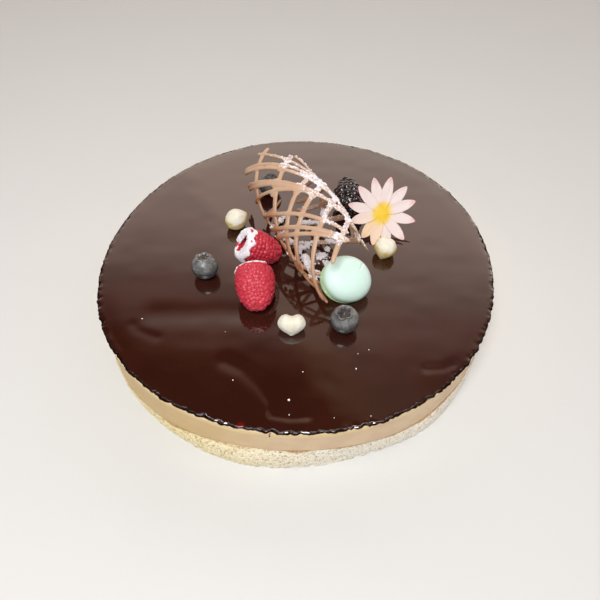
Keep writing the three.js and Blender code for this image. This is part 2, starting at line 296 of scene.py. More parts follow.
class Recipe:
    """Builds one procedural material, a node at a time. Feature sizes are in millimetres."""

    def __init__(self, name, **uniform):
        self.material = bpy.data.materials.new(name)
        self.material.use_nodes = True
        self.tree = self.material.node_tree
        self.shader = self.tree.nodes["Principled BSDF"]
        for socket, value in uniform.items():
            self.shader.inputs[socket.replace("_", " ")].default_value = value
        self.where = self.add("TexCoord").outputs["Object"]

    def add(self, kind, **inputs):
        node = self.tree.nodes.new("ShaderNode" + kind)
        for name, value in inputs.items():
            self.feed(node.inputs[name.replace("_", " ")], value)
        return node

    def feed(self, socket, value):
        if isinstance(value, bpy.types.NodeSocket):
            self.tree.links.new(value, socket)
        else:
            socket.default_value = value

    def shade(self, socket, value):
        self.feed(self.shader.inputs[socket], value)

    def noise(self, size, detail, roughness=0.5):
        node = self.add("TexNoise", Vector=self.where, Scale=1 / (size * MM), Detail=detail,
                        Roughness=roughness)
        return node.outputs["Fac"]

    def cells(self, size):
        return self.add("TexVoronoi", Vector=self.where, Scale=1 / (size * MM)).outputs["Distance"]

    def painted(self, layer):
        node = self.add("Attribute")
        node.attribute_name = layer
        return node.outputs["Fac"]

    def across(self):
        """How far to the right of the cake's middle a point lies, in metres."""
        return self.add("SeparateXYZ", Vector=self.where).outputs["X"]

    def range(self, value, low, high, start=0.0, end=1.0):
        """Goes smoothly from start to end while the value goes from low to high."""
        node = self.add("MapRange", Value=value, From_Min=low, From_Max=high, To_Min=start, To_Max=end)
        node.interpolation_type = "SMOOTHSTEP"
        return node.outputs["Result"]

    def math(self, operation, first, second):
        node = self.add("Math")
        node.operation = operation
        self.feed(node.inputs[0], first)
        self.feed(node.inputs[1], second)
        return node.outputs[0]

    def mix(self, share, first, second):
        """A blend of two colours. The mix node's sockets 0, 6 and 7 are its share and its colours."""
        node = self.add("Mix")
        node.data_type = "RGBA"
        self.feed(node.inputs[0], share)
        self.feed(node.inputs[6], first)
        self.feed(node.inputs[7], second)
        return node.outputs[2]

    def bump(self, height, depth, strength=1.0):
        """Relief of the given depth in millimetres, from a height that runs from 0 to 1."""
        return self.add("Bump", Height=height, Strength=strength, Distance=depth * MM).outputs["Normal"]


# ---------------------------------------------------------------- settings
def length(name, description, default):
    return FloatProperty(name=name, description=description, default=default, min=0.0, max=0.3,
                         unit="LENGTH", precision=5)


def wattage(name, description, default):
    return FloatProperty(name=name, description=description, default=default, min=0.0, unit="POWER")


def tint(name, description, code):
    return FloatVectorProperty(name=name, description=description, default=colour(code), size=4,
                               min=0.0, max=1.0, subtype="COLOR")


class SpongeSettings(PropertyGroup):
    pore_size: length("Pore Size", "Radius of the largest holes in the crumb", 0.62 * MM)
    pore_depth: length("Pore Depth", "How deep the holes in the crumb are", 0.6 * MM)
    pores: IntProperty(name="Pores", description="Holes round the side", default=15000, min=0)
    crumb: tint("Crumb", "Colour of the crumb", "fffbf2")
    # Painted shade: the crumb's holes are painted this darker colour as well as cut into the side.
    shade: tint("Shade", "Colour inside the holes", "b99a60")
    crust: tint("Crust", "Colour of the browned line on top", "b07f36")


class MousseSettings(PropertyGroup):
    body: tint("Body", "Colour of the mousse", "dec29c")
    light_band: tint("Light Band", "Colour just under the glaze", "e4c894")
    band_height: length("Band Height", "Height of the lighter band", 4.2 * MM)
    waviness: length("Waviness", "Unevenness of the side", 0.22 * MM)


class GlazeSettings(PropertyGroup):
    chocolate: tint("Chocolate", "Colour of the glaze", "31150f")
    wave: length("Wave", "Height of the slow waves on top", 0.24 * MM)
    bead: length("Bead", "Unevenness of the bead round the rim", 0.62 * MM)


class BerrySettings(PropertyGroup):
    blueberry_skin: tint("Blueberry Skin", "Colour of the bare skin", "2b2e31")
    blueberry_bloom: tint("Blueberry Bloom", "Colour of the waxy bloom", "8b8a87")
    raspberry: tint("Raspberry", "Colour of a raspberry drupelet", "e04152")
    bramble: tint("Bramble", "Colour of a bramble drupelet", "17100f")
    drupelet: length("Drupelet", "Width of a raspberry drupelet", 2.15 * MM)


class SweetSettings(PropertyGroup):
    hazelnut: tint("Hazelnut", "Colour of a blanched kernel", "ece8d8")
    # Painted shade: the flanks turned away from the lit side are painted this yellower colour.
    hazelnut_edge_shade: tint("Hazelnut Edge", "Yellower colour of its flanks", "dcc27a")
    macaron: tint("Macaron", "Colour of the mint shell", "daf2ea")
    petal: tint("Petal", "Colour of a petal", "e5d4cf")
    petal_tip: tint("Petal Tip", "Pinker colour at the petals' tips", "e6a6aa")
    airbrush: tint("Airbrush", "Yellow of the flower's middle", "eac32c")


class LatticeSettings(PropertyGroup):
    chocolate: tint("Chocolate", "Colour of the milk chocolate", "c39d82")
    strip_width: length("Strip Width", "Width of a piped strip", 2.9 * MM)
    strip_thickness: length("Strip Thickness", "Thickness of a piped strip", 1.5 * MM)
    grain: length("Grain", "Size of a clump of icing sugar", 0.48 * MM)


class StageSettings(PropertyGroup):
    floor: tint("Floor", "Colour of the pale floor", "d9d9d7")
    key_power: wattage("Key Power", "Strength of the large soft light", 7.8)
    tube_power: wattage("Tube Power", "Strength of the long light overhead", 2.0)
    surround: FloatProperty(name="Surround", description="Brightness of the studio round the cake",
                            default=0.48, min=0.0)


class CakeSettings(PropertyGroup):
    sponge: PointerProperty(type=SpongeSettings)
    mousse: PointerProperty(type=MousseSettings)
    glaze: PointerProperty(type=GlazeSettings)
    berries: PointerProperty(type=BerrySettings)
    sweets: PointerProperty(type=SweetSettings)
    lattice: PointerProperty(type=LatticeSettings)
    stage: PointerProperty(type=StageSettings)


# ---------------------------------------------------------------- stage
# The camera's place and lens are in millimetres, and the lights and the floor are in metres.
CAMERA_PLACE = np.array([0.0, -215.487, 262.805]) + CENTRE
CAMERA_FORWARD = Vector((0.003547, 0.628948, -0.777439))
CAMERA_ROLL = 0.31              # degrees
LENS = 33.014
SENSOR = 36.0
KEY_PLACE = (-0.12, -0.46, 0.86)
KEY_SIZE = 0.42
TUBE_PLACE = (0.0, -0.1, 1.05)
TUBE_SIZE = (1.7, 0.03)
LIGHT_AIM = (0, 0, 0.02)
FLOOR_REACH = 6.0
# The studio's bright wall, window and front: a direction, and the tone by closeness to it.
WALL = Vector((0.098, 0.935, -0.342))
WALL_LEVEL = 1.5
WALL_STOPS = (
    (0.17, (0.0, 0.0, 0.0)), (0.22, (0.08, 0.04, 0.03)), (0.27, (0.25, 0.16, 0.13)),
    (0.32, (0.34, 0.26, 0.22)), (0.38, (0.59, 0.46, 0.39)), (0.44, (0.79, 0.62, 0.55)),
    (0.50, (0.83, 0.66, 0.58)), (0.56, (0.92, 0.77, 0.66)), (1.0, (0.9, 0.8, 0.72)),
)
WINDOW = Vector((0.836, 0.502, -0.223))
WINDOW_LEVEL = 1.0
WINDOW_STOPS = (
    (0.075, (0.0, 0.0, 0.0)), (0.11, (0.26, 0.18, 0.11)), (0.19, (0.22, 0.16, 0.12)),
    (0.29, (0.08, 0.07, 0.06)), (0.5, (0.12, 0.11, 0.1)), (1.0, (0.6, 0.58, 0.56)),
)
FRONT = Vector((0.0, -0.970, 0.243))
FRONT_STOPS = (
    (0.0, (0.0, 0.0, 0.0)), (0.45, (0.2, 0.2, 0.2)), (0.75, (0.5, 0.5, 0.5)), (1.0, (1.0, 1.0, 1.0)),
)


def make_camera():
    data = bpy.data.cameras.new("camera")
    data.lens = LENS
    data.sensor_width = SENSOR
    camera = bpy.data.objects.new("camera", data)
    bpy.context.scene.collection.objects.link(camera)
    side = CAMERA_FORWARD.cross(Vector((0, 0, 1))).normalized()
    above = side.cross(CAMERA_FORWARD).normalized()
    roll = math.radians(CAMERA_ROLL)
    right = side * math.cos(roll) + above * math.sin(roll)
    up = above * math.cos(roll) - side * math.sin(roll)
    turn = Matrix((right, up, -CAMERA_FORWARD)).transposed()
    camera.matrix_world = Matrix.Translation(Vector(CAMERA_PLACE) * MM) @ turn.to_4x4()
    bpy.context.scene.camera = camera


def make_studio(surround):
    """A bright wall low behind the cake, a dark ceiling, and soft light from the front and right."""
    world = bpy.data.worlds.new("studio")
    world.use_nodes = True
    bpy.context.scene.world = world
    tree = world.node_tree
    coords = tree.nodes.new("ShaderNodeTexCoord")

    def combine(operation, first, second, socket=0):
        node = tree.nodes.new("ShaderNodeVectorMath")
        node.operation = operation
        tree.links.new(first, node.inputs[0])
        if isinstance(second, bpy.types.NodeSocket):
            tree.links.new(second, node.inputs[1])
        elif operation == "SCALE":
            node.inputs["Scale"].default_value = second
        else:
            node.inputs[1].default_value = second
        return node.outputs[socket]

    def glow(direction, stops, level):
        """Light that changes with the angle from a direction."""
        node = tree.nodes.new("ShaderNodeValToRGB")
        points = node.color_ramp.elements
        while len(points) < len(stops):
            points.new(0.5)
        for point, (position, tone) in zip(points, stops):
            point.position = position
            point.color = tone + (1.0,)
        towards = combine("DOT_PRODUCT", coords.outputs["Generated"], direction, 1)
        tree.links.new(towards, node.inputs[0])
        return combine("SCALE", node.outputs["Color"], level)

    light = combine("ADD", glow(WALL, WALL_STOPS, WALL_LEVEL), glow(FRONT, FRONT_STOPS, surround))
    light = combine("ADD", light, glow(WINDOW, WINDOW_STOPS, WINDOW_LEVEL))
    tree.links.new(light, tree.nodes["Background"].inputs["Color"])


def make_light(name, place, size, power):
    """A soft light on the cake: a disc of one size, or a panel of two."""
    data = bpy.data.lights.new(name, "AREA")
    if isinstance(size, tuple):
        data.shape = "RECTANGLE"
        data.size, data.size_y = size
    else:
        data.shape = "DISK"
        data.size = size
    data.energy = power
    light = bpy.data.objects.new(name, data)
    bpy.context.scene.collection.objects.link(light)
    light.location = place
    light.rotation_euler = (Vector(LIGHT_AIM) - Vector(place)).to_track_quat("-Z", "Y").to_euler()


def floor_material(code):
    recipe = Recipe("pale_floor", Roughness=0.6)
    cloud = recipe.noise(60, 3)
    recipe.shade("Base Color", recipe.mix(recipe.range(cloud, 0.3, 0.7, 0.0, 0.06), code, colour("c9c9c6")))
    recipe.shade("Normal", recipe.bump(recipe.noise(1.2, 2), 0.02))
    return recipe.material


class CAKE_OT_stage(Operator):
    """Sets up the pale floor, the soft light and the camera"""
    bl_idname = "cake.add_stage"
    bl_label = "Stage"

    def execute(self, context):
        settings = context.scene.mousse_cake.stage
        mesh = bpy.data.meshes.new("floor")
        corners = [(x * FLOOR_REACH, y * FLOOR_REACH, 0) for x, y in ((-1, -1), (1, -1), (1, 1), (-1, 1))]
        mesh.from_pydata(corners, [], [[0, 1, 2, 3]])
        mesh.materials.append(floor_material(settings.floor))
        floor = bpy.data.objects.new("floor", mesh)
        context.scene.collection.objects.link(floor)
        make_studio(settings.surround)
        make_light("key", KEY_PLACE, KEY_SIZE, settings.key_power)
        make_light("tube", TUBE_PLACE, TUBE_SIZE, settings.tube_power)
        make_camera()
        context.scene.view_settings.view_transform = "Standard"
        return {"FINISHED"}


# ---------------------------------------------------------------- sponge
SPONGE_AROUND = 1420
SPONGE_ROWS = 38
# The sponge's side: how far in from the rim it lies at each height.
SPONGE_SIDE = ((0.6, 0.0), (0.3, 4.0), (0.1, 9.0), (0.4, 14.0), (0.9, SPONGE_TOP))
PORE_SPREAD = 2.2               # how much rarer large holes are than small ones
SMALLEST_PORE = 0.3             # share of the largest one's radius
PORE_JITTER = 0.2               # how far a hole's middle lies off the side
NEAR_PORES = 3                  # holes that each point is held against
CRUMB_LUMPS = (4.0, 0.35)       # size and height of the crumb's slow lumps
CRUMB_GRIT = (0.9, 0.18)        # and of its fine grit
# The ragged foot: the share of the height that it takes, and how deep its nicks are.
FOOT_SHARE = 0.22
FOOT_NICKS = 1.3
# The nicks are deeper at one place: turn and spread in degrees, millimetres deeper.
DEEP_NICKS = (-55, 22, 1.2)
CRUST_BAND = (1.1, 0.9)         # height of the browned line, and how much it varies
# Where the sponge's top edge browned most: turn and spread in degrees.
BROWNED = ((-119, 10), (-78, 6), (-53, 9))


def side_of_sponge():
    """The sponge's side before its crumb: points, their share of the height and their angle."""
    angle = full_turn(SPONGE_AROUND)[None, :]
    share = np.linspace(0, 1, SPONGE_ROWS)[:, None]
    inset = np.interp(share * SPONGE_TOP, [h for _, h in SPONGE_SIDE], [i for i, _ in SPONGE_SIDE])
    swell = sum(out * swell_at(angle, turn, spread) for turn, spread, out in SPONGE_SWELLS)
    radius = rim_radius(angle) - inset + swell * (1 - share ** 3)
    side = round_points(radius, angle, share * (SPONGE_TOP - sponge_dip(angle)))
    angle, share = np.broadcast_arrays(angle, share)
    return side, share, angle


def crumb_pores(points, count, size, depth, seed):
    """How far the crumb's holes push each point in, and how deep in a hole it is from 0 to 1, which the
    material paints as shade.
    """
    chance = np.random.default_rng(seed)
    chosen = points[chance.integers(0, len(points), count)] + chance.normal(0, PORE_JITTER, (count, 3))
    radii = size * (SMALLEST_PORE + (1 - SMALLEST_PORE) * chance.random(count) ** PORE_SPREAD)
    tree = KDTree(count)
    for i, place in enumerate(chosen):
        tree.insert(place, i)
    tree.balance()
    inwards = np.zeros(len(points))
    for n, point in enumerate(points):
        for _, i, distance in tree.find_n(point, NEAR_PORES):
            radius = radii[i]
            if distance < radius:
                hollow = math.sqrt(1 - (distance / radius) ** 2) * radius / size
                inwards[n] = max(inwards[n], hollow)
    return inwards * depth, inwards


def crumb_relief(points, share, angle, pushed):
    """How far the crumb stands out at each point of the side, less its holes and its ragged foot."""
    lumps = layered_noise(points, CRUMB_LUMPS[0], 3, seed=2)
    grit = soft_noise(points, CRUMB_GRIT[0], seed=8)
    flat = points * [1, 1, 0]
    nicks = soft_noise(flat, 3.6, 5) + 0.8 * soft_noise(flat, 1.3, 6)
    ragged = (1 - smooth_step(0.0, FOOT_SHARE, share)) * smooth_step(-0.1, 0.7, nicks)
    turn, spread, deeper = DEEP_NICKS
    nick_depth = FOOT_NICKS + deeper * swell_at(angle, turn, spread)
    # The very foot keeps more of its line, so that the sponge stands flat.
    free = smooth_step(0.0, 0.05, share)
    relief = CRUMB_LUMPS[1] * lumps + CRUMB_GRIT[1] * grit
    return relief - pushed * (0.35 + 0.65 * free) - nick_depth * ragged


def browned_crust(share, angle):
    """How browned each point is from 0 to 1: a thin uneven line along the top edge."""
    height_left = (1 - share) * (SPONGE_TOP - sponge_dip(angle))
    along = round_points(CAKE_RADIUS, angle, 0)
    band = CRUST_BAND[0] + CRUST_BAND[1] * soft_noise(along, 9.0, 11)
    strength = smooth_step(-0.35, 0.35, soft_noise(along, 22.0, 3) + 0.25 * soft_noise(along, 3.0, 6))
    strength = np.maximum(strength, sum(swell_at(angle, turn, spread) for turn, spread in BROWNED))
    return smooth_step(0.4, -0.4, height_left - band) * (0.35 + 0.65 * strength)


def sponge_material(settings):
    recipe = Recipe("almond_sponge", Roughness=0.92)
    fine = recipe.noise(0.7, 3, 0.7)
    patches = recipe.noise(9, 2)
    # The left of the cake is painted a little yellower than its right.
    left = recipe.range(recipe.across(), 0.03, -0.07)
    base = recipe.mix(recipe.range(patches, 0.35, 0.65, 0.0, 0.6), settings.crumb, colour("fcf6ea"))
    base = recipe.mix(left, base, colour("f9eaba"))
    coarse = recipe.noise(1.3, 2, 0.6)
    base = recipe.mix(recipe.range(coarse, 0.5, 0.66, 0.0, 0.3), base, colour("d9c08a"))
    grains = recipe.range(recipe.cells(0.75), 0.12, 0.5)
    base = recipe.mix(recipe.math("MULTIPLY", grains, 0.18), base, colour("d9c79c"))
    base = recipe.mix(recipe.range(fine, 0.59, 0.68, 0.0, 0.8), base, colour("957445"))
    # Painted shade: the holes are darkened towards the shade colour by how deep in them a point lies.
    base = recipe.mix(recipe.range(recipe.painted("pore_painted_shade"), 0.1, 0.7, 0.0, 0.75), base, settings.shade)
    speck = recipe.math("MULTIPLY", recipe.range(recipe.cells(1.6), 0.1, 0.24, 1.0, 0.0),
                        recipe.range(recipe.noise(2.5, 1), 0.47, 0.54))
    base = recipe.mix(recipe.math("MULTIPLY", speck, 0.9), base, colour("4c3a1f"))
    crust = recipe.math("MULTIPLY", recipe.painted("crust"), recipe.range(fine, 0.3, 0.6, 0.55, 1.0))
    base = recipe.mix(crust, base, settings.crust)
    recipe.shade("Base Color", base)
    recipe.shade("Normal", recipe.bump(fine, 0.35, 0.9))
    return recipe.material


class CAKE_OT_sponge(Operator):
    """Makes the sponge with its open crumb and thin browned top edge"""
    bl_idname = "cake.add_sponge"
    bl_label = "Sponge"

    def execute(self, context):
        settings = context.scene.mousse_cake.sponge
        side, share, angle = side_of_sponge()
        flat = side.reshape(-1, 3)
        share, angle = share.ravel(), angle.ravel()
        pushed, pore_painted_shade = crumb_pores(flat, settings.pores, settings.pore_size / MM,
                                   settings.pore_depth / MM, seed=4)
        relief = crumb_relief(flat, share, angle, pushed)
        grid = (flat + round_points(1, angle, 0) * relief[:, None]).reshape(side.shape)
        points, faces = closed_round(grid)
        points[-1, 2] = SPONGE_TOP
        piece = make_piece("sponge_crumb", points + CENTRE, faces, sponge_material(settings),
                           "sponge")
        paint_points(piece, "pore_painted_shade", np.append(pore_painted_shade, [0, 0]))
        paint_points(piece, "crust", np.append(browned_crust(share, angle), [0, 1]))
        return {"FINISHED"}


# ---------------------------------------------------------------- mousse
MOUSSE_AROUND = 720
MOUSSE_ROWS = 26
MOUSSE_INSET = 0.9
MOUSSE_LIP = 1.1                # the mousse shows between the scallops of the glaze
MOUSSE_WAVE = 26.0              # width of its slow waves
MOUSSE_FLATTENING = 1.6         # how much wider than tall they are
MOUSSE_DIMPLE = (4.0, 0.35)     # width of the small ones, and their share of the height
LIP_WHITENESS = 0.8


def mousse_material(settings):
    recipe = Recipe("beige_mousse", Roughness=0.5, Subsurface_Weight=0.15,
                    Subsurface_Radius=(0.002, 0.0014, 0.001))
    drift = recipe.noise(14, 3)
    base = recipe.mix(recipe.range(drift, 0.35, 0.65), settings.body, colour("d8b998"))
    base = recipe.mix(recipe.range(recipe.across(), 0.0, -0.055), base, colour("d2b27c"))
    band = recipe.range(recipe.painted("band"), 0.0, 1.0)
    base = recipe.mix(band, base, settings.light_band)
    base = recipe.mix(recipe.painted("lip"), base, colour("f2dcae"))
    bubbles = recipe.range(recipe.cells(3.1), 0.0, 0.1, 1.0, 0.0)
    sparse = recipe.range(recipe.noise(7, 1), 0.55, 0.62)
    base = recipe.mix(recipe.math("MULTIPLY", bubbles, recipe.math("MULTIPLY", sparse, 0.6)),
                      base, colour("a9835a"))
    recipe.shade("Base Color", base)
    recipe.shade("Roughness", recipe.range(drift, 0.3, 0.7, 0.42, 0.6))
    recipe.shade("Normal", recipe.bump(recipe.noise(0.9, 2), 0.05, 0.6))
    return recipe.material


class CAKE_OT_mousse(Operator):
    """Makes the thick mousse layer, smooth from the ring"""
    bl_idname = "cake.add_mousse"
    bl_label = "Mousse"

    def execute(self, context):
        settings = context.scene.mousse_cake.mousse
        angle = full_turn(MOUSSE_AROUND)[None, :]
        share = np.linspace(0, 1, MOUSSE_ROWS)[:, None]
        foot = SPONGE_TOP - sponge_dip(angle)
        height = foot + share * (MOUSSE_TOP + MOUSSE_LIP - foot)
        grid = round_points(rim_radius(angle) - MOUSSE_INSET, angle, height)
        flat = grid.reshape(-1, 3)
        width, strength = MOUSSE_DIMPLE
        waves = layered_noise(flat * [1, 1, MOUSSE_FLATTENING], MOUSSE_WAVE, 3, seed=21)
        waves += strength * soft_noise(flat, width, 5)
        relief = (settings.waviness / MM * waves).reshape(height.shape)
        points, faces = closed_round(grid + round_points(1, angle, 0) * relief[..., None])
        points[-2, 2] = SPONGE_TOP
        piece = make_piece("mousse_layer", points + CENTRE, faces, mousse_material(settings),
                           "mousse")
        below = MOUSSE_TOP - points[:, 2]
        band_height = settings.band_height / MM * (1 + 0.3 * soft_noise(points * [1, 1, 0], 12.0, 9))
        paint_points(piece, "band", smooth_step(1.2, 0.5, below / band_height))
        paint_points(piece, "lip", LIP_WHITENESS * smooth_step(1.6, 0.6, below))
        return {"FINISHED"}


# ---------------------------------------------------------------- glaze
GLAZE_AROUND = 600
GLAZE_RINGS = 90
GLAZE_HUB = 0.005               # share of the radius at which the innermost ring lies
RIM_FINENESS = 3                # how many times finer the grid is round the rim
# Berry juice has run under the rim here: place and size.
JUICE_SPOTS = ((-25.7, -104.9, 2.8), (-18.0, -107.0, 1.8))
UNDERSIDE_INSETS = (4.0, 1.9)   # how far in the hidden underside starts and ends
UNDERSIDE_LIFT = 0.15           # how far above the lower edge it ends
EDGE_DROP = 1.15                # how far the glaze's lower edge lies below its top
EDGE_SCALLOP = 0.95
EDGE_SWAY = 0.3
SHOULDER_DROP = 1.0
BEAD_INSET = 0.45
BEAD_BULGE = 0.6
BEAD_TURNS = (-80, -60, -35, -10, 15, 35)       # where the bead's section has its rings, in degrees
# The rounding of the rim: how far in, how far below the level, and how uneven.
RIM_ROUNDING = (
    (0.3, 0.5, 0.12), (0.65, 0.28, 0.16), (1.05, 0.13, 0.14), (1.55, 0.04, 0.09), (2.2, 0.0, 0.03),
)
# These shares also paint the rings darker, as painted shade.
RIM_DULLING_AND_SHADE = (1.0, 0.8, 0.4)   # how dull the rings above the bead's underside are
RIM_DULLEST = 0.85
# Where the palette knife drew through the glaze: depth, width and line of each shallow trough.
# A negative depth is a low ridge.
STROKES = (
    (0.28, 7.0, ((-74, -42), (-30, -40))),
    (0.28, 4.2, ((-35, -70.5), (-26, -75.5), (-18, -83.5), (-12, -91.5))),
    (0.10, 2.6, ((-84, -48.5), (-80, -52.5), (-71, -56.5))),
    (0.2, 2.2, ((62, -75), (69.5, -74.5), (76, -72))),
    (0.46, 3.4, ((-11, -98.6), (-3, -99.6), (5, -99))),
    (-0.05, 5.0, ((5, -92), (25, -90), (42, -84))),
)


def glaze_material(settings):
    recipe = Recipe("mirror_glaze", Roughness=0.06, IOR=1.5, Coat_Weight=1.0, Coat_Roughness=0.03,
                    Coat_IOR=1.6)
    cloud = recipe.noise(30, 2)
    base = recipe.mix(recipe.range(cloud, 0.35, 0.65, 0.0, 0.5), settings.chocolate, colour("3a1b10"))
    juice = recipe.painted("juice")
    base = recipe.mix(juice, base, colour("780f0c"))
    # Painted shade: under its bead, and in stretches just above it, the glaze is painted darker and made
    # rough, without coat or specular, so that it shows no reflection there.
    under = recipe.painted("under")
    base = recipe.mix(under, base, colour("1c0b08"))
    recipe.shade("Base Color", base)
    rough = recipe.range(recipe.noise(18, 2), 0.3, 0.7, 0.04, 0.1)
    recipe.shade("Roughness", recipe.math("ADD", rough, recipe.math("MULTIPLY", under, 0.5)))
    recipe.shade("Coat Weight", recipe.math("SUBTRACT", 1.0, under))
    recipe.shade("Specular IOR Level", recipe.range(under, 0.0, 1.0, 0.5, 0.0))
    recipe.shade("Normal", recipe.bump(recipe.noise(11, 2), 0.05, 0.5))
    return recipe.material


# Where the glaze has crept up round the foot of a topping: middle, half widths and height.
MENISCI = (((-20.3, -31.5), (8.6, 11.0), 0.5),)
MENISCUS_WIDTH = 0.8
TOP_WAVE = 44.0                 # width of the slow waves


def away_from_line(x, y, line):
    """Distance of each point from a line of straight runs."""
    nearest = np.full(len(x), np.inf)
    for (x0, y0), (x1, y1) in zip(line, line[1:]):
        run = (x1 - x0) ** 2 + (y1 - y0) ** 2
        share = np.clip(((x - x0) * (x1 - x0) + (y - y0) * (y1 - y0)) / run, 0, 1)
        nearest = np.minimum(nearest, np.hypot(x - x0 - share * (x1 - x0), y - y0 - share * (y1 - y0)))
    return nearest


def glaze_height(points, wave):
    """How far the poured top stands off its level: slow waves, knife strokes and the fall to the rim."""
    x, y, _ = points.T
    share = np.hypot(x, y) / rim_radius(np.arctan2(y, x))
    height = layered_noise(points * [1, 1.5, 0], TOP_WAVE, 3, seed=41) * wave * smooth_step(1.0, 0.95, share)
    for depth, width, line in STROKES:
        height -= depth * np.exp(-(away_from_line(x, y, line) / width) ** 2)
    for (middle_x, middle_y), (wide, deep), rise in MENISCI:
        away = (np.hypot((x - middle_x) / wide, (y - middle_y) / deep) - 1) * min(wide, deep)
        height += rise * np.exp(-(away / MENISCUS_WIDTH) ** 2)
    fall = 0.36 + 0.12 * soft_noise(points, 30.0, 43)
    return height - fall * smooth_step(0.87, 1.02, share) ** 1.5


def bead_rings(angle, along, bead):
    """Rings from the glaze's hidden underside up round its bead, and the radius of the bead.
    The glaze ends in small scallops: its lower edge lies high in some places and low in others."""
    rim = rim_radius(angle)
    scallop = soft_noise(along, 2.6, 31) + 0.6 * soft_noise(along, 1.2, 32)
    sway = soft_noise(along, 14.0, 33)
    edge = GLAZE_TOP - EDGE_DROP - EDGE_SCALLOP * np.clip(scallop, -0.8, 0.9) - EDGE_SWAY * sway
    full = rim - BEAD_INSET + bead * scallop + 0.1 * sway
    shoulder = GLAZE_TOP - SHOULDER_DROP + 0.12 * soft_noise(along, 1.9, 34)
    middle, reach = (edge + shoulder) / 2, (shoulder - edge) / 2
    start, end = UNDERSIDE_INSETS
    rings = [round_points(rim - start, angle, MOUSSE_TOP),
             round_points(rim - end, angle, edge + UNDERSIDE_LIFT)]
    for turn in np.radians(BEAD_TURNS):
        radius = full - BEAD_BULGE * (1 - np.cos(turn))
        rings.append(round_points(radius, angle, middle + reach * np.sin(turn)))
    return rings, full


def rounding_rings(angle, along, full, wave):
    """Rings over the rounding of the rim, from the bead to the poured top."""
    ripple = soft_noise(along, 2.4, 35) + 0.5 * soft_noise(along, 5.5, 36)
    spread = np.clip(1 + 1.2 * soft_noise(along, 3.0, 37) + 0.6 * soft_noise(along, 1.4, 38), 0.25, 2.0)
    widest = RIM_ROUNDING[-1][0]
    rings = []
    for inset, fall, rough in RIM_ROUNDING:
        radius = full - inset * (1 + (spread - 1) * (1 - inset / widest))
        level = GLAZE_TOP + glaze_height(round_points(radius, angle, 0), wave)
        rings.append(round_points(radius, angle, level - fall + rough * ripple))
    return rings


def poured_top(angle, radius, wave):
    """The top's coarser grid, from its rim to its middle."""
    shares = 1 - np.linspace(0, 1, GLAZE_RINGS)[1:] * (1 - GLAZE_HUB)
    top = round_points(radius * shares[:, None], angle, GLAZE_TOP).reshape(-1, 3)
    top[:, 2] += glaze_height(top, wave)
    return top


def glaze_faces(rings):
    """Faces of the rim's rings and of the top, with one row of many-sided faces between them."""
    around = GLAZE_AROUND * RIM_FINENESS
    faces = ring_faces(rings, around)
    last = (rings - 1) * around
    start = rings * around
    for i in range(GLAZE_AROUND):
        fine = [last + (i * RIM_FINENESS + n) % around for n in range(RIM_FINENESS + 1)]
        faces.append(fine + [start + (i + 1) % GLAZE_AROUND, start + i])
    faces += ring_faces(GLAZE_RINGS - 1, GLAZE_AROUND, start)
    inner = start + (GLAZE_RINGS - 2) * GLAZE_AROUND
    faces.append(list(range(inner, inner + GLAZE_AROUND)))
    faces.append(list(range(around))[::-1])
    return faces


def rim_dulling_and_shade(along, shaded, count):
    """How dull and how dark with painted shade each point is: wholly up to the bead's underside, and in
    stretches just above it.
    """
    around = len(along)
    under = np.zeros(count)
    under[:shaded * around] = 1.0
    # Above it only short stretches of the bead keep their coat and glint; the rest is dulled and painted
    # darker.
    dull_and_shaded = RIM_DULLEST * (1 - smooth_step(0.0, 0.45, soft_noise(along, 4.0, 39)))
    for row, share in enumerate(RIM_DULLING_AND_SHADE, start=shaded):
        under[row * around:(row + 1) * around] = share * dull_and_shaded
    return under


class CAKE_OT_glaze(Operator):
    """Pours the chocolate glaze, with its bead and small scallops round the rim"""
    bl_idname = "cake.add_glaze"
    bl_label = "Chocolate Glaze"

    def execute(self, context):
        settings = context.scene.mousse_cake.glaze
        wave = settings.wave / MM
        angle = full_turn(GLAZE_AROUND * RIM_FINENESS)
        along = round_points(CAKE_RADIUS, angle, 0)
        rings, full = bead_rings(angle, along, settings.bead / MM)
        shaded = len(rings) + 1
        rings += rounding_rings(angle, along, full, wave)
        coarse = slice(None, None, RIM_FINENESS)
        top = poured_top(angle[coarse], full[coarse] - RIM_ROUNDING[-1][0], wave)
        points = np.concatenate(rings + [top])
        piece = make_piece("chocolate_glaze", points + CENTRE, glaze_faces(len(rings)),
                           glaze_material(settings), "glaze")
        paint_points(piece, "under", rim_dulling_and_shade(along, shaded, len(points)))
        juice = np.zeros(len(points))
        for x, y, size in JUICE_SPOTS:
            away = np.hypot(points[:, 0] - x, points[:, 1] - y)
            juice = np.maximum(juice, smooth_step(size, 0.2 * size, away))
        paint_points(piece, "juice", juice)
        return {"FINISHED"}


# ---------------------------------------------------------------- blueberries
BLUEBERRIES = (
    ("blueberry_left", 7.2, (-0.05, 0.25, 1)),
    ("blueberry_front", 7.3, (-0.1, -0.05, 1)),
    ("blueberry_under_lattice", 7.0, (0.3, 0.2, 1)),
)
BERRY_FLATNESS = 0.96
BERRY_AROUND = 100
BERRY_SHOULDER = 0.95           # polar angle, in radians, from which the rows are finer for the crown
BERRY_ROWS = (44, 52)           # below and above that
CROWN_RADIUS = 0.46             # shares of the berry's radius
CROWN_WIDTH = 0.08
CROWN_HEIGHT = 0.1
CROWN_DEPTH = 0.16
CROWN_SLOPE = 0.17
CROWN_LOBES = 5
STAR_HEIGHT = 0.07              # the little star in the middle of the crown
STAR_WIDTH = 0.09


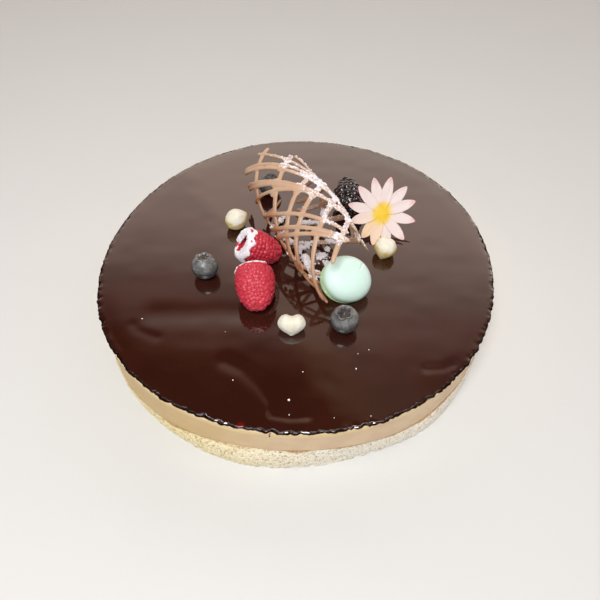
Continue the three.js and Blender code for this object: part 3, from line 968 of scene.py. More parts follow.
def blueberry_shape(radius, seed):
    """A round berry with a lobed crown round its hollow. Returns the skin and crown shares."""
    below, above = BERRY_ROWS
    polar = np.concatenate([np.linspace(math.pi, BERRY_SHOULDER, below),
                            np.linspace(BERRY_SHOULDER, 0.02, above)[1:]])
    grid = turned_grid(np.sin(polar), np.cos(polar), BERRY_AROUND)
    angle = full_turn(BERRY_AROUND)[None, :]
    across = np.sin(polar)[:, None] + 0 * angle
    upper = (np.cos(polar) > 0)[:, None]
    lobe = np.abs(np.cos(CROWN_LOBES / 2 * (angle + seed))) ** 0.8
    ring = CROWN_RADIUS * (0.9 + 0.28 * lobe)
    ridge = np.exp(-((across - ring) / CROWN_WIDTH) ** 2) * (0.25 + 0.75 * lobe) * upper
    hollow = smooth_step(ring, ring - CROWN_SLOPE, across) * upper
    star = np.exp(-(across / STAR_WIDTH) ** 2) * upper
    grid[..., 2] += CROWN_HEIGHT * ridge - CROWN_DEPTH * hollow + STAR_HEIGHT * star
    grid[..., :2] *= (1 + 0.10 * ridge)[..., None]
    flat = grid.reshape(-1, 3) * radius
    flat *= 1 + 0.018 * soft_noise(flat, radius * 0.9, seed)[:, None]
    flat *= [1.0, 1.0, BERRY_FLATNESS]
    return flat.reshape(grid.shape), ridge, hollow


def blueberry_material(settings):
    recipe = Recipe("blueberry_skin", Roughness=0.4, Coat_Weight=0.25, Coat_Roughness=0.2)
    cloud = recipe.noise(3.2, 4, 0.6)
    rubbed = recipe.noise(1.1, 3, 0.7)
    bloom = recipe.math("MULTIPLY", recipe.range(cloud, 0.25, 0.7, 0.25, 1.0),
                        recipe.range(rubbed, 0.3, 0.7, 0.5, 1.0))
    # Painted light: the bloom is painted lighter on what faces up and darker on the sides.
    bloom = recipe.math("MULTIPLY", bloom, recipe.range(recipe.painted("upper"), 0.0, 1.0, 0.3, 1.0))
    base = recipe.mix(bloom, settings.blueberry_skin, settings.blueberry_bloom)
    base = recipe.mix(recipe.range(recipe.painted("hollow"), 0.3, 1.0, 0.0, 0.85), base, colour("2a1d1c"))
    base = recipe.mix(recipe.range(recipe.painted("ridge"), 0.35, 0.9, 0.0, 0.55), base, colour("857a76"))
    recipe.shade("Base Color", base)
    recipe.shade("Roughness", recipe.range(bloom, 0.0, 1.0, 0.26, 0.55))
    recipe.shade("Normal", recipe.bump(rubbed, 0.08, 0.6))
    return recipe.material


class CAKE_OT_blueberries(Operator):
    """Makes the three blueberries with their crowns and bloom"""
    bl_idname = "cake.add_blueberries"
    bl_label = "Blueberries"

    def execute(self, context):
        material = blueberry_material(context.scene.mousse_cake.berries)
        for seed, (node, radius, axis) in enumerate(BLUEBERRIES, start=1):
            grid, ridge, hollow = blueberry_shape(radius, seed)
            points, faces = closed_round(grid)
            points, _ = seat(points, node, axis)
            piece = make_piece(node + "_fruit", points, faces, material, node)
            paint_points(piece, "ridge", np.append(ridge.ravel(), [0, 0]))
            # Painted light: how much each point faces up, for the bloom to be painted lighter there.
            paint_points(piece, "upper", smooth_step(-0.3, 0.75, mesh_normals(piece.data)[:, 2]))
            paint_points(piece, "hollow", np.append(hollow.ravel(), [0, 1]))
        return {"FINISHED"}


# ---------------------------------------------------------------- berries of drupelets
def bead_skin(grid, normals, centres, radii):
    """Pushes each point of a skin out to the surface of the beads that it lies over.
    Returns the skin and, for each point, how far up its bead it is from 0 to 1."""
    points = grid.reshape(-1, 3)
    normals = normals.reshape(-1, 3)
    reach = np.zeros(len(points))
    for centre, size in zip(centres, radii):
        offset = centre - points
        along = (offset * normals).sum(1)
        apart = (offset * offset).sum(1) - along ** 2
        inside = apart < size ** 2
        reach[inside] = np.maximum(reach[inside], along[inside] + np.sqrt(size ** 2 - apart[inside]))
    skin = (points + normals * reach[:, None]).reshape(grid.shape)
    return skin, (reach / reach.max()).reshape(grid.shape[:2])


def profile_normals(radii, heights, around):
    """Outward normals of a turned grid."""
    slope_r, slope_z = np.gradient(radii), np.gradient(heights)
    size = np.hypot(slope_r, slope_z)
    return turned_grid(slope_z / size, -slope_r / size, around)


ROW_START = 0.35                # where in its row's share of the length a row of drupelets lies
UNEVEN_TURN = 0.2               # how unevenly the drupelets of a row are spaced, as a share of their gap
UNEVEN_HEIGHT = 0.13            # and how far they stand off their row, as a share of the pitch


def drupelet_centres(radii, heights, pitch, sink, chance, spacing):
    """Staggered rows of centres over a turned profile, a little uneven.
    The spacing gives the pitch from row to row and along a row, as shares."""
    steps = np.hypot(np.diff(radii), np.diff(heights))
    travelled = np.concatenate([[0], np.cumsum(steps)])
    row_pitch, next_pitch = pitch * np.array(spacing)
    rows = int(round(travelled[-1] / row_pitch))
    centres = []
    for row in range(rows):
        at = (row + ROW_START) / rows * travelled[-1]
        r, z = np.interp(at, travelled, radii) - sink, np.interp(at, travelled, heights)
        count = max(1, int(round(2 * math.pi * max(r, 0.1) / next_pitch)))
        offset = chance.random()
        for i in range(count):
            angle = 2 * math.pi * (i + offset + chance.normal(0, UNEVEN_TURN)) / count
            centres.append(round_points(r, angle, z + chance.normal(0, UNEVEN_HEIGHT * pitch)))
    return np.array(centres)


# Node, scale across and along, axis, size of its drupelets and their radius as a share of their pitch.
RASPBERRIES = (
    ("raspberry_back", (0.97, 0.98), (-0.82, -0.15, 0.55), 1.02, 0.71),
    ("raspberry_front", (1.11, 0.97), (-0.12, 0.98, 0.15), 0.84, 0.82),
)
RASPBERRY_AROUND = 256
RASPBERRY_ROWS = 100
LIP_ROWS = 25
HOLLOW_ROWS = 29
RASPBERRY_LENGTH = 22.2
RASPBERRY_RADIUS = 9.05
RASPBERRY_WALL = 2.4
RASPBERRY_HOLLOW = 13.0
RASPBERRY_LIP = 0.9
RASPBERRY_SPACING = (1.02, 0.85)
DRUPELET_RISE = 0.8             # how far a drupelet stands out from the profile
# Painted shade: the hollow is painted close to the darker red of the gaps between drupelets.
HOLLOW_TONE = 0.35              # how light the hollow is, where a drupelet goes from 0 to 1


def raspberry_profile(scale):
    """Outer profile of a raspberry from its tip to its rim."""
    share = np.linspace(0.0, 1.0, RASPBERRY_ROWS) ** 1.15
    bulge = np.sqrt(np.clip(1 - (1 - np.minimum(share * 1.25, 1)) ** 2, 0, 1))
    radii = RASPBERRY_RADIUS * (0.13 * smooth_step(0, 0.03, share) + 0.87 * bulge) * (1 - 0.1 * share ** 4)
    radii[0] = 0.05
    return radii * scale[0], share * RASPBERRY_LENGTH * scale[1]


def raspberry_outside(scale, pitch, swell, seed):
    """A raspberry's outside, and how far up its drupelet each point is from 0 to 1."""
    radii, heights = raspberry_profile(scale)
    chance = np.random.default_rng(seed)
    size = pitch * swell
    centres = drupelet_centres(radii, heights, pitch, size - DRUPELET_RISE, chance, RASPBERRY_SPACING)
    return bead_skin(turned_grid(radii, heights, RASPBERRY_AROUND),
                     profile_normals(radii, heights, RASPBERRY_AROUND),
                     centres, size * chance.uniform(0.9, 1.08, len(centres)))


def raspberry_inside(scale, seed):
    """The rounded lip and the hollow, from the rim inwards."""
    radii, heights = raspberry_profile(scale)
    outer, top = radii[-1], heights[-1]
    rim = outer - RASPBERRY_WALL * scale[0]
    share = np.linspace(0, 1, LIP_ROWS + 1)[1:]
    lip_r = outer + (rim - outer) * share
    lip_z = top + RASPBERRY_LIP * np.sin(math.pi * share) ** 0.7
    deep = np.linspace(0, 1, HOLLOW_ROWS + 1)[1:]
    hollow_r = rim * np.clip(1 - 0.75 * deep ** 1.6, 0, 1) * (1 - smooth_step(0.93, 1.0, deep)) + 0.03
    hollow_z = top - RASPBERRY_HOLLOW * scale[1] * deep
    inner = turned_grid(np.append(lip_r, hollow_r), np.append(lip_z, hollow_z), RASPBERRY_AROUND)
    flat = inner.reshape(-1, 3)
    return (flat * (1 + 0.015 * soft_noise(flat, 1.7, seed)[:, None])).reshape(inner.shape)


def raspberry_material(settings):
    recipe = Recipe("raspberry_flesh", Roughness=0.45, Subsurface_Weight=0.25,
                    Subsurface_Radius=(0.0022, 0.0004, 0.0005), Coat_Weight=0.12, Coat_Roughness=0.25)
    crown = recipe.painted("bead")
    blotch = recipe.noise(4.5, 2)
    # Painted shade: the gaps between the drupelets, and the hollow, are painted a darker red than the
    # drupelets' crowns.
    base = recipe.mix(recipe.range(crown, 0.15, 0.85), colour("bd2a3e"), settings.raspberry)
    base = recipe.mix(recipe.range(blotch, 0.5, 0.75, 0.0, 0.5), base, colour("dc4a58"))
    fuzz = recipe.noise(0.5, 3, 0.7)
    base = recipe.mix(recipe.range(fuzz, 0.6, 0.85, 0.0, 0.35), base, colour("eb8d90"))
    recipe.shade("Base Color", base)
    recipe.shade("Roughness", recipe.range(fuzz, 0.3, 0.7, 0.3, 0.5))
    recipe.shade("Normal", recipe.bump(fuzz, 0.06, 0.5))
    return recipe.material


class CAKE_OT_raspberries(Operator):
    """Makes the two raspberries, drupelet by drupelet, with their open hollows"""
    bl_idname = "cake.add_raspberries"
    bl_label = "Raspberries"

    def execute(self, context):
        settings = context.scene.mousse_cake.berries
        material = raspberry_material(settings)
        for seed, (node, scale, axis, fine, swell) in enumerate(RASPBERRIES, start=11):
            outer, crown = raspberry_outside(scale, settings.drupelet / MM * fine, swell, seed)
            inner = raspberry_inside(scale, seed)
            points, faces = closed_round(np.concatenate([outer, inner]))
            points, _ = seat(points, node, axis)
            piece = make_piece(node + "_fruit", points, faces, material, node)
            tones = np.concatenate([crown, np.full(inner.shape[:2], HOLLOW_TONE)])
            paint_points(piece, "bead", np.append(tones.ravel(), [0.5, 0.1]))
        return {"FINISHED"}


BRAMBLE_AXIS = (0, 1, 0.02)
BRAMBLE_LENGTH = 25.0
BRAMBLE_RADIUS = 7.9
BRAMBLE_ROWS = 100
BRAMBLE_AROUND = 180
BRAMBLE_PITCH = 3.9
BRAMBLE_SPACING = (0.95, 0.93)
BRAMBLE_SINK = 0.75             # how far inside the profile the drupelets' middles lie
BRAMBLE_SWELL = 0.55            # their radius as a share of their pitch


def bramble_material(settings):
    recipe = Recipe("bramble_drupelets", Roughness=0.24, Coat_Weight=0.5, Coat_Roughness=0.12)
    drift = recipe.noise(5, 2)
    base = recipe.mix(recipe.range(drift, 0.4, 0.7), settings.bramble, colour("2b1214"))
    # Painted shade: the gaps between the drupelets are painted near black.
    base = recipe.mix(recipe.range(recipe.painted("bead"), 0.3, 0.0, 0.0, 0.6), base, colour("060404"))
    recipe.shade("Base Color", base)
    recipe.shade("Roughness", recipe.range(recipe.noise(0.9, 2), 0.3, 0.7, 0.18, 0.34))
    recipe.shade("Normal", recipe.bump(recipe.noise(0.7, 2), 0.05, 0.4))
    return recipe.material


class CAKE_OT_bramble(Operator):
    """Makes the dark bramble berry behind the lattice"""
    bl_idname = "cake.add_bramble"
    bl_label = "Bramble Berry"

    def execute(self, context):
        settings = context.scene.mousse_cake.berries
        share = (1 - np.cos(np.linspace(0.02, math.pi - 0.02, BRAMBLE_ROWS))) / 2
        body = np.sqrt(np.clip(1 - (2 * share - 1) ** 2, 0, 1))
        radii = BRAMBLE_RADIUS * body * (1.06 - 0.12 * share)
        heights = BRAMBLE_LENGTH * share
        chance = np.random.default_rng(17)
        centres = drupelet_centres(radii, heights, BRAMBLE_PITCH, BRAMBLE_SINK, chance, BRAMBLE_SPACING)
        sizes = BRAMBLE_PITCH * BRAMBLE_SWELL * chance.uniform(0.94, 1.06, len(centres))
        grid, crown = bead_skin(turned_grid(radii, heights, BRAMBLE_AROUND),
                                profile_normals(radii, heights, BRAMBLE_AROUND), centres, sizes)
        points, faces = closed_round(grid)
        points, _ = seat(points, "bramble_berry", BRAMBLE_AXIS)
        piece = make_piece("bramble_berry_fruit", points, faces, bramble_material(settings),
                           "bramble_berry")
        paint_points(piece, "bead", np.append(crown.ravel(), [0.5, 0.5]))
        return {"FINISHED"}


# ---------------------------------------------------------------- hazelnuts
# Node, size, depth of its cleft, axis and how strongly its flanks are painted yellower as shade.
HAZELNUTS = (
    ("hazelnut_back", (12.4, 12.2, 13.4), 0.0, (-0.8, -0.5, -0.2), 0.9),
    ("hazelnut_front", (14.0, 10.4, 11.4), 0.3, (0, 0.8, 0.6), -0.2),
    ("hazelnut_right", (12.4, 12.2, 12.8), 0.12, (0.3, 0.5, 0.8), 1.0),
)
HAZELNUT_LIT_SIDE = np.array((0.05, -0.38, 0.92))     # the side painted pale as if lit; the flanks are painted yellower as shade
HAZELNUT_ROWS = 70
HAZELNUT_AROUND = 92
HAZELNUT_TAPER = 0.28
HAZELNUT_RIBS = (9, 0.012)      # how many, and their height
HAZELNUT_NIB = (0.07, 0.04)     # the point at its foot: height and width
HAZELNUT_DIMPLE = (0.05, 0.02)  # the dimple at its top: depth and width
# How uneven it is: size and height of its waves and of its grain.
HAZELNUT_WAVES = (4.2, 0.036)
HAZELNUT_GRAIN = (0.9, 0.012)


def hazelnut_shape(size, cleft, seed):
    """A blanched kernel: a ball drawn to a blunt point at its foot, with a cleft at its top."""
    polar = np.linspace(math.pi - 0.02, 0.02, HAZELNUT_ROWS)
    grid = turned_grid(np.sin(polar), np.cos(polar), HAZELNUT_AROUND)
    x, y, z = grid.reshape(-1, 3).T
    taper = np.where(z < 0, 1 - HAZELNUT_TAPER * z ** 2, 1.0)
    dent = cleft * np.clip(z, 0, None) * np.exp(-6 * x ** 2)
    count, height = HAZELNUT_RIBS
    ribs = height * np.cos(count * np.arctan2(y, x) + seed) * (1 - z ** 2)
    nib = HAZELNUT_NIB[0] * np.exp(-((z + 1) / HAZELNUT_NIB[1]) ** 2)
    dimple = HAZELNUT_DIMPLE[0] * np.exp(-((z - 1) / HAZELNUT_DIMPLE[1]) ** 2)
    body = taper * (1 + ribs)
    shaped = np.stack([x * body, y * body, z - dent - nib - dimple], -1) * np.array(size) / 2
    waves = HAZELNUT_WAVES[1] * layered_noise(shaped, HAZELNUT_WAVES[0], 3, seed)
    grain = HAZELNUT_GRAIN[1] * soft_noise(shaped, HAZELNUT_GRAIN[0], seed)
    return (shaped * (1 + waves + grain)[:, None]).reshape(grid.shape)


def hazelnut_material(settings):
    recipe = Recipe("blanched_hazelnut", Roughness=0.6, Subsurface_Weight=0.12,
                    Subsurface_Radius=(0.002, 0.0015, 0.0008))
    drift = recipe.noise(5.5, 3)
    grain = recipe.noise(1.0, 4, 0.6)
    # Painted shade: the painted flanks, with some random drift, take the yellower edge colour.
    share = recipe.math("ADD", recipe.range(recipe.painted("low"), 0.0, 1.0),
                        recipe.range(drift, 0.3, 0.7, -0.25, 0.25))
    base = recipe.mix(share, settings.hazelnut, settings.hazelnut_edge_shade)
    base = recipe.mix(recipe.range(grain, 0.6, 0.8, 0.0, 0.3), base, colour("d8bd6c"))
    spot = recipe.math("MULTIPLY", recipe.range(recipe.cells(4.5), 0.0, 0.12, 1.0, 0.0), 0.5)
    base = recipe.mix(spot, base, colour("9a7a3c"))
    recipe.shade("Base Color", base)
    recipe.shade("Normal", recipe.bump(grain, 0.1, 0.5))
    return recipe.material


class CAKE_OT_hazelnuts(Operator):
    """Makes the three blanched hazelnuts"""
    bl_idname = "cake.add_hazelnuts"
    bl_label = "Hazelnuts"

    def execute(self, context):
        material = hazelnut_material(context.scene.mousse_cake.sweets)
        for seed, (node, size, cleft, axis, yellow) in enumerate(HAZELNUTS, start=51):
            points, faces = closed_round(hazelnut_shape(size, cleft, seed))
            points, _ = seat(points, node, axis)
            piece = make_piece(node + "_kernel", points, faces, material, node)
            # Painted shade: flanks turned away from the lit side are painted yellower.
            facing = mesh_normals(piece.data) @ HAZELNUT_LIT_SIDE
            paint_points(piece, "low", yellow * smooth_step(0.85, 0.3, facing))
        return {"FINISHED"}


# ---------------------------------------------------------------- macaron
MACARON_RADIUS = 12.9
MACARON_AROUND = 200
FRILL_ROWS = 9
DOME_ROWS = 64
MACARON_OVAL = 0.04
MACARON_SHELL = 5.2
MACARON_FRILL = 1.4
MACARON_FILLING = 2.0
MACARON_WAIST = MACARON_FILLING / 2 + MACARON_FRILL     # where each shell's dome starts
MACARON_SINK = 2.2              # the domed upper shell is thicker than the lower one
MACARON_NARROWING = 0.965       # the lower shell's width against the upper's
MACARON_AXIS = (0.28, -0.45, 0.85)
RUFFLES = ((1.1, 0.32), (0.55, 0.22))   # size and height of the folds in the frill
# The small crease in the upper shell.
CREASE_PLACE = (5.6, 6.6)
CREASE_SLANT = 0.5
CREASE_REACH = (0.45, 1.8)      # half its width and half its length
CREASE_DEPTH = 1.1


def macaron_half(sign):
    """Profile of one shell from the filling outwards: radius, height, and 1 where it is the frill."""
    rows = [(MACARON_RADIUS - 1.6, 0.0, 0.0), (MACARON_RADIUS - 1.2, MACARON_FILLING * 0.4, 0.0)]
    for share in np.linspace(0, 1, FRILL_ROWS):
        bulge = math.sin(math.pi * share)
        rows.append((MACARON_RADIUS - 0.75 + 0.5 * bulge, MACARON_FILLING / 2 + MACARON_FRILL * share, 1.0))
    for polar in np.linspace(88, 1, DOME_ROWS):
        turned = math.radians(polar)
        rows.append((MACARON_RADIUS * math.sin(turned) ** 0.8,
                     MACARON_WAIST + MACARON_SHELL * math.cos(turned), 0.0))
    return [(r, sign * z, f) for r, z, f in rows]


def macaron_shape(radii, heights, frill):
    """Both shells and their filling: ruffled at the frill, creased on top and a little oval."""
    grid = turned_grid(radii, heights, MACARON_AROUND)
    flat = grid.reshape(-1, 3)
    folds = sum(height * soft_noise(flat, size, seed) for seed, (size, height) in enumerate(RUFFLES, 61))
    ruffle = folds * np.repeat(frill, MACARON_AROUND)
    flat[:, :2] *= (1 + ruffle / np.maximum(np.hypot(flat[:, 0], flat[:, 1]), 1))[:, None]
    top = MACARON_WAIST + MACARON_SHELL
    flat[:, 2] += np.interp(np.repeat(heights, MACARON_AROUND), (-top, -MACARON_WAIST, MACARON_WAIST, top),
                            (0, -MACARON_SINK, -MACARON_SINK, 0))
    flat[:, :2] *= np.where(flat[:, 2] + MACARON_SINK < MACARON_WAIST, MACARON_NARROWING, 1.0)[:, None]
    flat *= 1 + 0.008 * layered_noise(flat, 7.0, 2, 63)[:, None]
    x, y = flat[:, 0] - CREASE_PLACE[0], flat[:, 1] - CREASE_PLACE[1]
    crease = np.exp(-((x - CREASE_SLANT * y) / CREASE_REACH[0]) ** 2 - (y / CREASE_REACH[1]) ** 2)
    flat[:, 2] -= CREASE_DEPTH * crease * (flat[:, 2] > 2)
    flat *= [1 + MACARON_OVAL, 1 - MACARON_OVAL, 1]
    return flat.reshape(grid.shape)


def macaron_material(settings):
    recipe = Recipe("mint_macaron", Roughness=0.5, Subsurface_Weight=0.1,
                    Subsurface_Radius=(0.002, 0.002, 0.002))
    drift = recipe.noise(8, 3)
    fine = recipe.noise(0.6, 3, 0.6)
    base = recipe.mix(recipe.range(drift, 0.35, 0.7, 0.0, 0.45), settings.macaron, colour("cdeed8"))
    # Painted shade: the outer rim and the lower shell are painted a darker green.
    base = recipe.mix(recipe.range(recipe.painted("edge"), 0.0, 1.0, 0.0, 0.75), base, colour("b4d890"))
    base = recipe.mix(recipe.range(recipe.painted("filling"), 0.4, 0.6), base, colour("d9e3b8"))
    recipe.shade("Base Color", base)
    recipe.shade("Roughness", recipe.range(fine, 0.3, 0.7, 0.42, 0.6))
    recipe.shade("Normal", recipe.bump(fine, 0.05, 0.4))
    return recipe.material


class CAKE_OT_macaron(Operator):
    """Makes the mint macaron with its smooth shells and ruffled feet"""
    bl_idname = "cake.add_macaron"
    bl_label = "Macaron"

    def execute(self, context):
        rows = macaron_half(-1)[::-1] + macaron_half(1)[1:]
        radii, heights, frill = (np.array(column) for column in zip(*rows))
        points, faces = closed_round(macaron_shape(radii, heights, frill))
        points, _ = seat(points, "macaron", MACARON_AXIS)
        material = macaron_material(context.scene.mousse_cake.sweets)
        piece = make_piece("macaron_shells", points, faces, material, "macaron")
        filling = (np.abs(heights) < MACARON_FILLING / 2).astype(float)
        # Painted shade: the outer rim and the lower shell, for the darker green.
        edge = np.maximum(smooth_step(0.9, 1.0, radii / MACARON_RADIUS) * 0.5, heights < 1)
        for layer, shares in (("filling", filling), ("edge", edge)):
            paint_points(piece, layer, np.append(np.repeat(shares, MACARON_AROUND), [0, 0]))
        return {"FINISHED"}


# ---------------------------------------------------------------- sugar flower
FLOWER_AXIS = (0, -0.629, 0.777)
# Each petal's direction in degrees and its length.
PETALS = (
    (103, 21.0), (76, 21.4), (46, 21.0), (19, 20.4), (-13, 19.6), (-52, 20.0),
    (-79, 19.0), (-107, 19.6), (-130, 18.6), (-165, 19.2), (167, 20.2), (133, 20.6),
)
PETAL_WIDTH = 6.0
PETAL_THICKNESS = 0.55
PETAL_ROWS = 34
PETAL_ACROSS = 15
PETAL_OVERLAP = 0.42            # how much higher every second petal lies
PETAL_CUP = 2.3                 # how far a petal's tip curls up
PETAL_TROUGH = 0.55
PETAL_VEIN = (0.22, 0.16)       # the raised middle line: height, and half width as a share
PETAL_RIPPLE = 0.12
ROUNDED_FROM = 0.9              # share of the length from which the tip is rounded
# The disc in the middle.
DISC_RADIUS = 4.0
DISC_HEIGHT = 0.8
DISC_LIFT = 0.4
DISC_ROWS = 30
DISC_AROUND = 72
# The airbrushed spot is oblong and leans to the upper right: degrees, and its stretch both ways.
AIRBRUSH_LEAN = 62
AIRBRUSH_OVAL = (1.2, 0.98)
AIRBRUSH_EDGE = (9.0, 2.6)      # it fades between these distances from the middle
PEACH_PETALS = (-128, 34)       # where the petals are a little peach: turn and spread in degrees


def petal_shape(reach, lift, chance):
    """One petal along +X: points of its upper and lower skins, and how much its tip blushes."""
    along = np.linspace(0.03, 1.0, PETAL_ROWS)[:, None]
    across = np.linspace(-1, 1, PETAL_ACROSS)[None, :]
    belly = np.sin(math.pi * np.clip(along, 0, 0.999) ** 1.2) ** 0.66
    tip = (along - ROUNDED_FROM) / (1 - ROUNDED_FROM)
    taper = np.where(tip > 0, np.sqrt(np.clip(1 - tip ** 2, 0, 1)), 1.0)
    half = PETAL_WIDTH / 2 * (0.16 * (1 - along) + belly * (1 - 0.12 * (1 - taper)))
    half = half * np.where(along > 0.97, np.sqrt(np.clip((1 - along) / 0.03, 0, 1)), 1.0) + 0.02
    bend = chance.normal(0, 0.5)
    vein_height, vein_width = PETAL_VEIN
    trough = PETAL_TROUGH * (across ** 2 - 0.4) * np.sin(math.pi * along)
    vein = vein_height * np.exp(-(across / vein_width) ** 2) * along
    ripple = PETAL_RIPPLE * np.sin(5 * along + 3 * across + chance.random() * 6)
    x = reach * along + 0 * across
    y = half * across + bend * along ** 2
    z = PETAL_CUP * along ** 2 + trough + vein + ripple + lift
    thick = PETAL_THICKNESS * (1 - 0.75 * across ** 4) * (1 - 0.6 * along ** 6) / 2
    edges = np.abs(across) ** 3 * smooth_step(0.2, 0.5, along)
    blush = np.maximum(smooth_step(0.6, 1.0, along), 0.85 * edges)
    return np.stack([x, y, z + thick], -1), np.stack([x, y, z - thick], -1), blush


def sheet_skin(upper, lower):
    """Points and faces of a closed thin sheet between two grids of points."""
    rows, across = upper.shape[:2]
    number = np.arange(rows * across).reshape(rows, across)
    under = number + rows * across
    faces = []
    for r in range(rows - 1):
        for c in range(across - 1):
            faces.append([number[r, c], number[r + 1, c], number[r + 1, c + 1], number[r, c + 1]])
            faces.append([under[r, c], under[r, c + 1], under[r + 1, c + 1], under[r + 1, c]])
    border = [(r, 0) for r in range(rows)] + [(rows - 1, c) for c in range(1, across)]
    border += [(r, across - 1) for r in range(rows - 2, -1, -1)] + [(0, c) for c in range(across - 2, 0, -1)]
    for here, there in zip(border, border[1:] + border[:1]):
        faces.append([number[here], under[here], under[there], number[there]])
    points = np.concatenate([upper.reshape(-1, 3), lower.reshape(-1, 3)])
    return points, [[int(i) for i in face] for face in faces]


def flower_disc():
    """The low grainy disc that the petals are set round."""
    polar = np.linspace(math.pi - 0.02, 0.02, DISC_ROWS)
    disc = turned_grid(DISC_RADIUS * np.sin(polar), DISC_HEIGHT * np.cos(polar) + DISC_LIFT, DISC_AROUND)
    flat = disc.reshape(-1, 3)
    flat[:, 2] += 0.16 * soft_noise(flat, 0.8, 72) * smooth_step(-0.2, 0.6, flat[:, 2])
    return closed_round(flat.reshape(disc.shape))


def flower_material(settings):
    recipe = Recipe("sugar_petals", Roughness=0.62, Subsurface_Weight=0.12,
                    Subsurface_Radius=(0.002, 0.0014, 0.0012))
    tip = recipe.painted("tip")
    mottle = recipe.noise(3.5, 3)
    base = recipe.mix(recipe.range(mottle, 0.35, 0.65, 0.0, 0.3), settings.petal, colour("ecdcdd"))
    blush = recipe.math("MULTIPLY", recipe.range(tip, 0.4, 1.0), recipe.range(mottle, 0.3, 0.7, 0.2, 0.75))
    base = recipe.mix(blush, base, settings.petal_tip)
    base = recipe.mix(recipe.math("MULTIPLY", recipe.painted("peach"), 0.75), base, colour("eac694"))
    haze = recipe.range(recipe.painted("yellow"), 0.0, 1.0)
    base = recipe.mix(haze, base, settings.airbrush)
    recipe.shade("Base Color", base)
    recipe.shade("Normal", recipe.bump(recipe.noise(0.35, 3, 0.6), 0.05, 0.6))
    return recipe.material


class CAKE_OT_flower(Operator):
    """Makes the sugar flower of twelve petals, airbrushed yellow in the middle"""
    bl_idname = "cake.add_flower"
    bl_label = "Sugar Flower"

    def execute(self, context):
        chance = np.random.default_rng(71)
        skins, tips, peach = [], [], []
        for i, (direction, reach) in enumerate(PETALS):
            upper, lower, blush = petal_shape(reach, PETAL_OVERLAP * (i % 2), chance)
            petal, petal_faces = sheet_skin(upper, lower)
            skins.append((petal @ spin_about_z(direction), petal_faces))
            tips.append(np.tile(blush.ravel(), 2))
            peach.append(np.full(len(petal), swell_at(math.radians(direction), *PEACH_PETALS)))
        disc = flower_disc()
        for values in (tips, peach):
            values.append(np.zeros(len(disc[0])))
        local, faces = join_skins(skins + [disc])
        placed, _ = seat(local, "sugar_flower", FLOWER_AXIS)
        material = flower_material(context.scene.mousse_cake.sweets)
        piece = make_piece("sugar_flower_petals", placed, faces, material, "sugar_flower")
        u, v, _ = (local @ spin_about_z(-AIRBRUSH_LEAN)).T
        away = np.hypot(u / AIRBRUSH_OVAL[0], v / AIRBRUSH_OVAL[1]) + 0.9 * soft_noise(local, 2.6, 73)
        paint_points(piece, "yellow", smooth_step(*AIRBRUSH_EDGE, away))
        paint_points(piece, "tip", np.concatenate(tips))
        past_middle = smooth_step(4.0, 9.0, np.hypot(local[:, 0], local[:, 1]))
        paint_points(piece, "peach", np.concatenate(peach) * past_middle)
        return {"FINISHED"}


# ---------------------------------------------------------------- rolled chocolate lattice
ROLL_HEADING = 205.2            # turn of the roll about Z, degrees
ROLL_LENGTH = 91.4
ROLL_TAIL_RADIUS = 14.6
ROLL_MOUTH_RADIUS = 16.1
ROLL_BELLY = 3.3
ROLL_LIFT = 0.6                 # the second set of strips is piped over the first
ROLL_FOOT = 0.75                # the lowest strips' skin lies this far under their middle lines
# Strips on the flat sheet: (across, along) at each end, how far its end stands off the roll, and its bow.
UNDER_STRIPS = (
    ((-1, 0), (56, 58), 0, 0), ((-11, 13), (54, 82), 0, 2), ((-38, 16), (46, 86), 0, 0),
    ((-46, 22), (40, 91), 0, 0), ((-50, 27), (30, 102), 0, 0), ((-54, 37), (8, 98), 0, 0),
    ((-56, 54), (-23, 83), 0, 0),
)
OVER_STRIPS = (
    ((-12, 13), (-52, 54), 0, 0), ((7, 2), (-26, 69), 0, 0), ((20, 0), (-31, 74), 0, 0),
    ((22, 1), (-28, 78), 0, 0), ((30, 5), (-19, 80), 0, 0), ((31, 8), (-2, 58), 0, 0),
    ((-13, 76), (-33, 82), 8, 0), ((34, 22), (-20, 77), 0, 1.8), ((54, 13), (-8, 86), 0, 0),
    ((56, 26), (-6, 91), 0, 0), ((54, 38), (-4, 91), 0, 0), ((57, 52), (28, 86), 0, 0),
    ((54, 62), (35, 101), 0, 0),
)
# Every strip with how far out of the sheet it is piped.
PIPED = [(strip, 0.0) for strip in UNDER_STRIPS] + [(strip, ROLL_LIFT) for strip in OVER_STRIPS]
OVER_WIDTH = 0.82               # the second set is piped narrower
# Where the strips melted into one another down the turned-under side: (across, along).
MELTED = ((31, 66), (33, 71), (30, 75), (35, 78), (29, 80), (26, 84), (37, 66))
STRIP_STEP = 0.9                # length of strip from one ring of points to the next
STRIP_SECTION = 12              # points round a strip
STRIP_END = 0.01                # strips that only touch in this share of their ends don't cross
PARALLEL = 1e-6
WEB_SIZE = 0.72                 # radius of the pad at a joint, as a share of the strips' width
WEB_HEIGHT = 0.72
WEB_ROWS = 7
WEB_AROUND = 16
LATTICE_VOXEL = 0.42


def roll_radius(share):
    """The roll's radius along its length, from 0 at its tail to 1 at its mouth."""
    cone = ROLL_TAIL_RADIUS + (ROLL_MOUTH_RADIUS - ROLL_TAIL_RADIUS) * share
    return cone + 4 * ROLL_BELLY * share * (1 - share)


def roll_point(across, along, out):
    """Points of the flat sheet, out from its face, rolled up lying on the glaze."""
    radius = roll_radius(along / ROLL_LENGTH)
    angle = across / radius
    reach = radius + out
    local = np.stack([reach * np.sin(angle), along + 0 * angle, radius + reach * np.cos(angle)], -1)
    return local @ spin_about_z(ROLL_HEADING)


def unrolled(points):
    """Across and along on the flat sheet for points near the roll."""
    x, along, z = (points @ spin_about_z(-ROLL_HEADING)).T
    radius = roll_radius(along / ROLL_LENGTH)
    return np.arctan2(x, z - radius) * radius, along


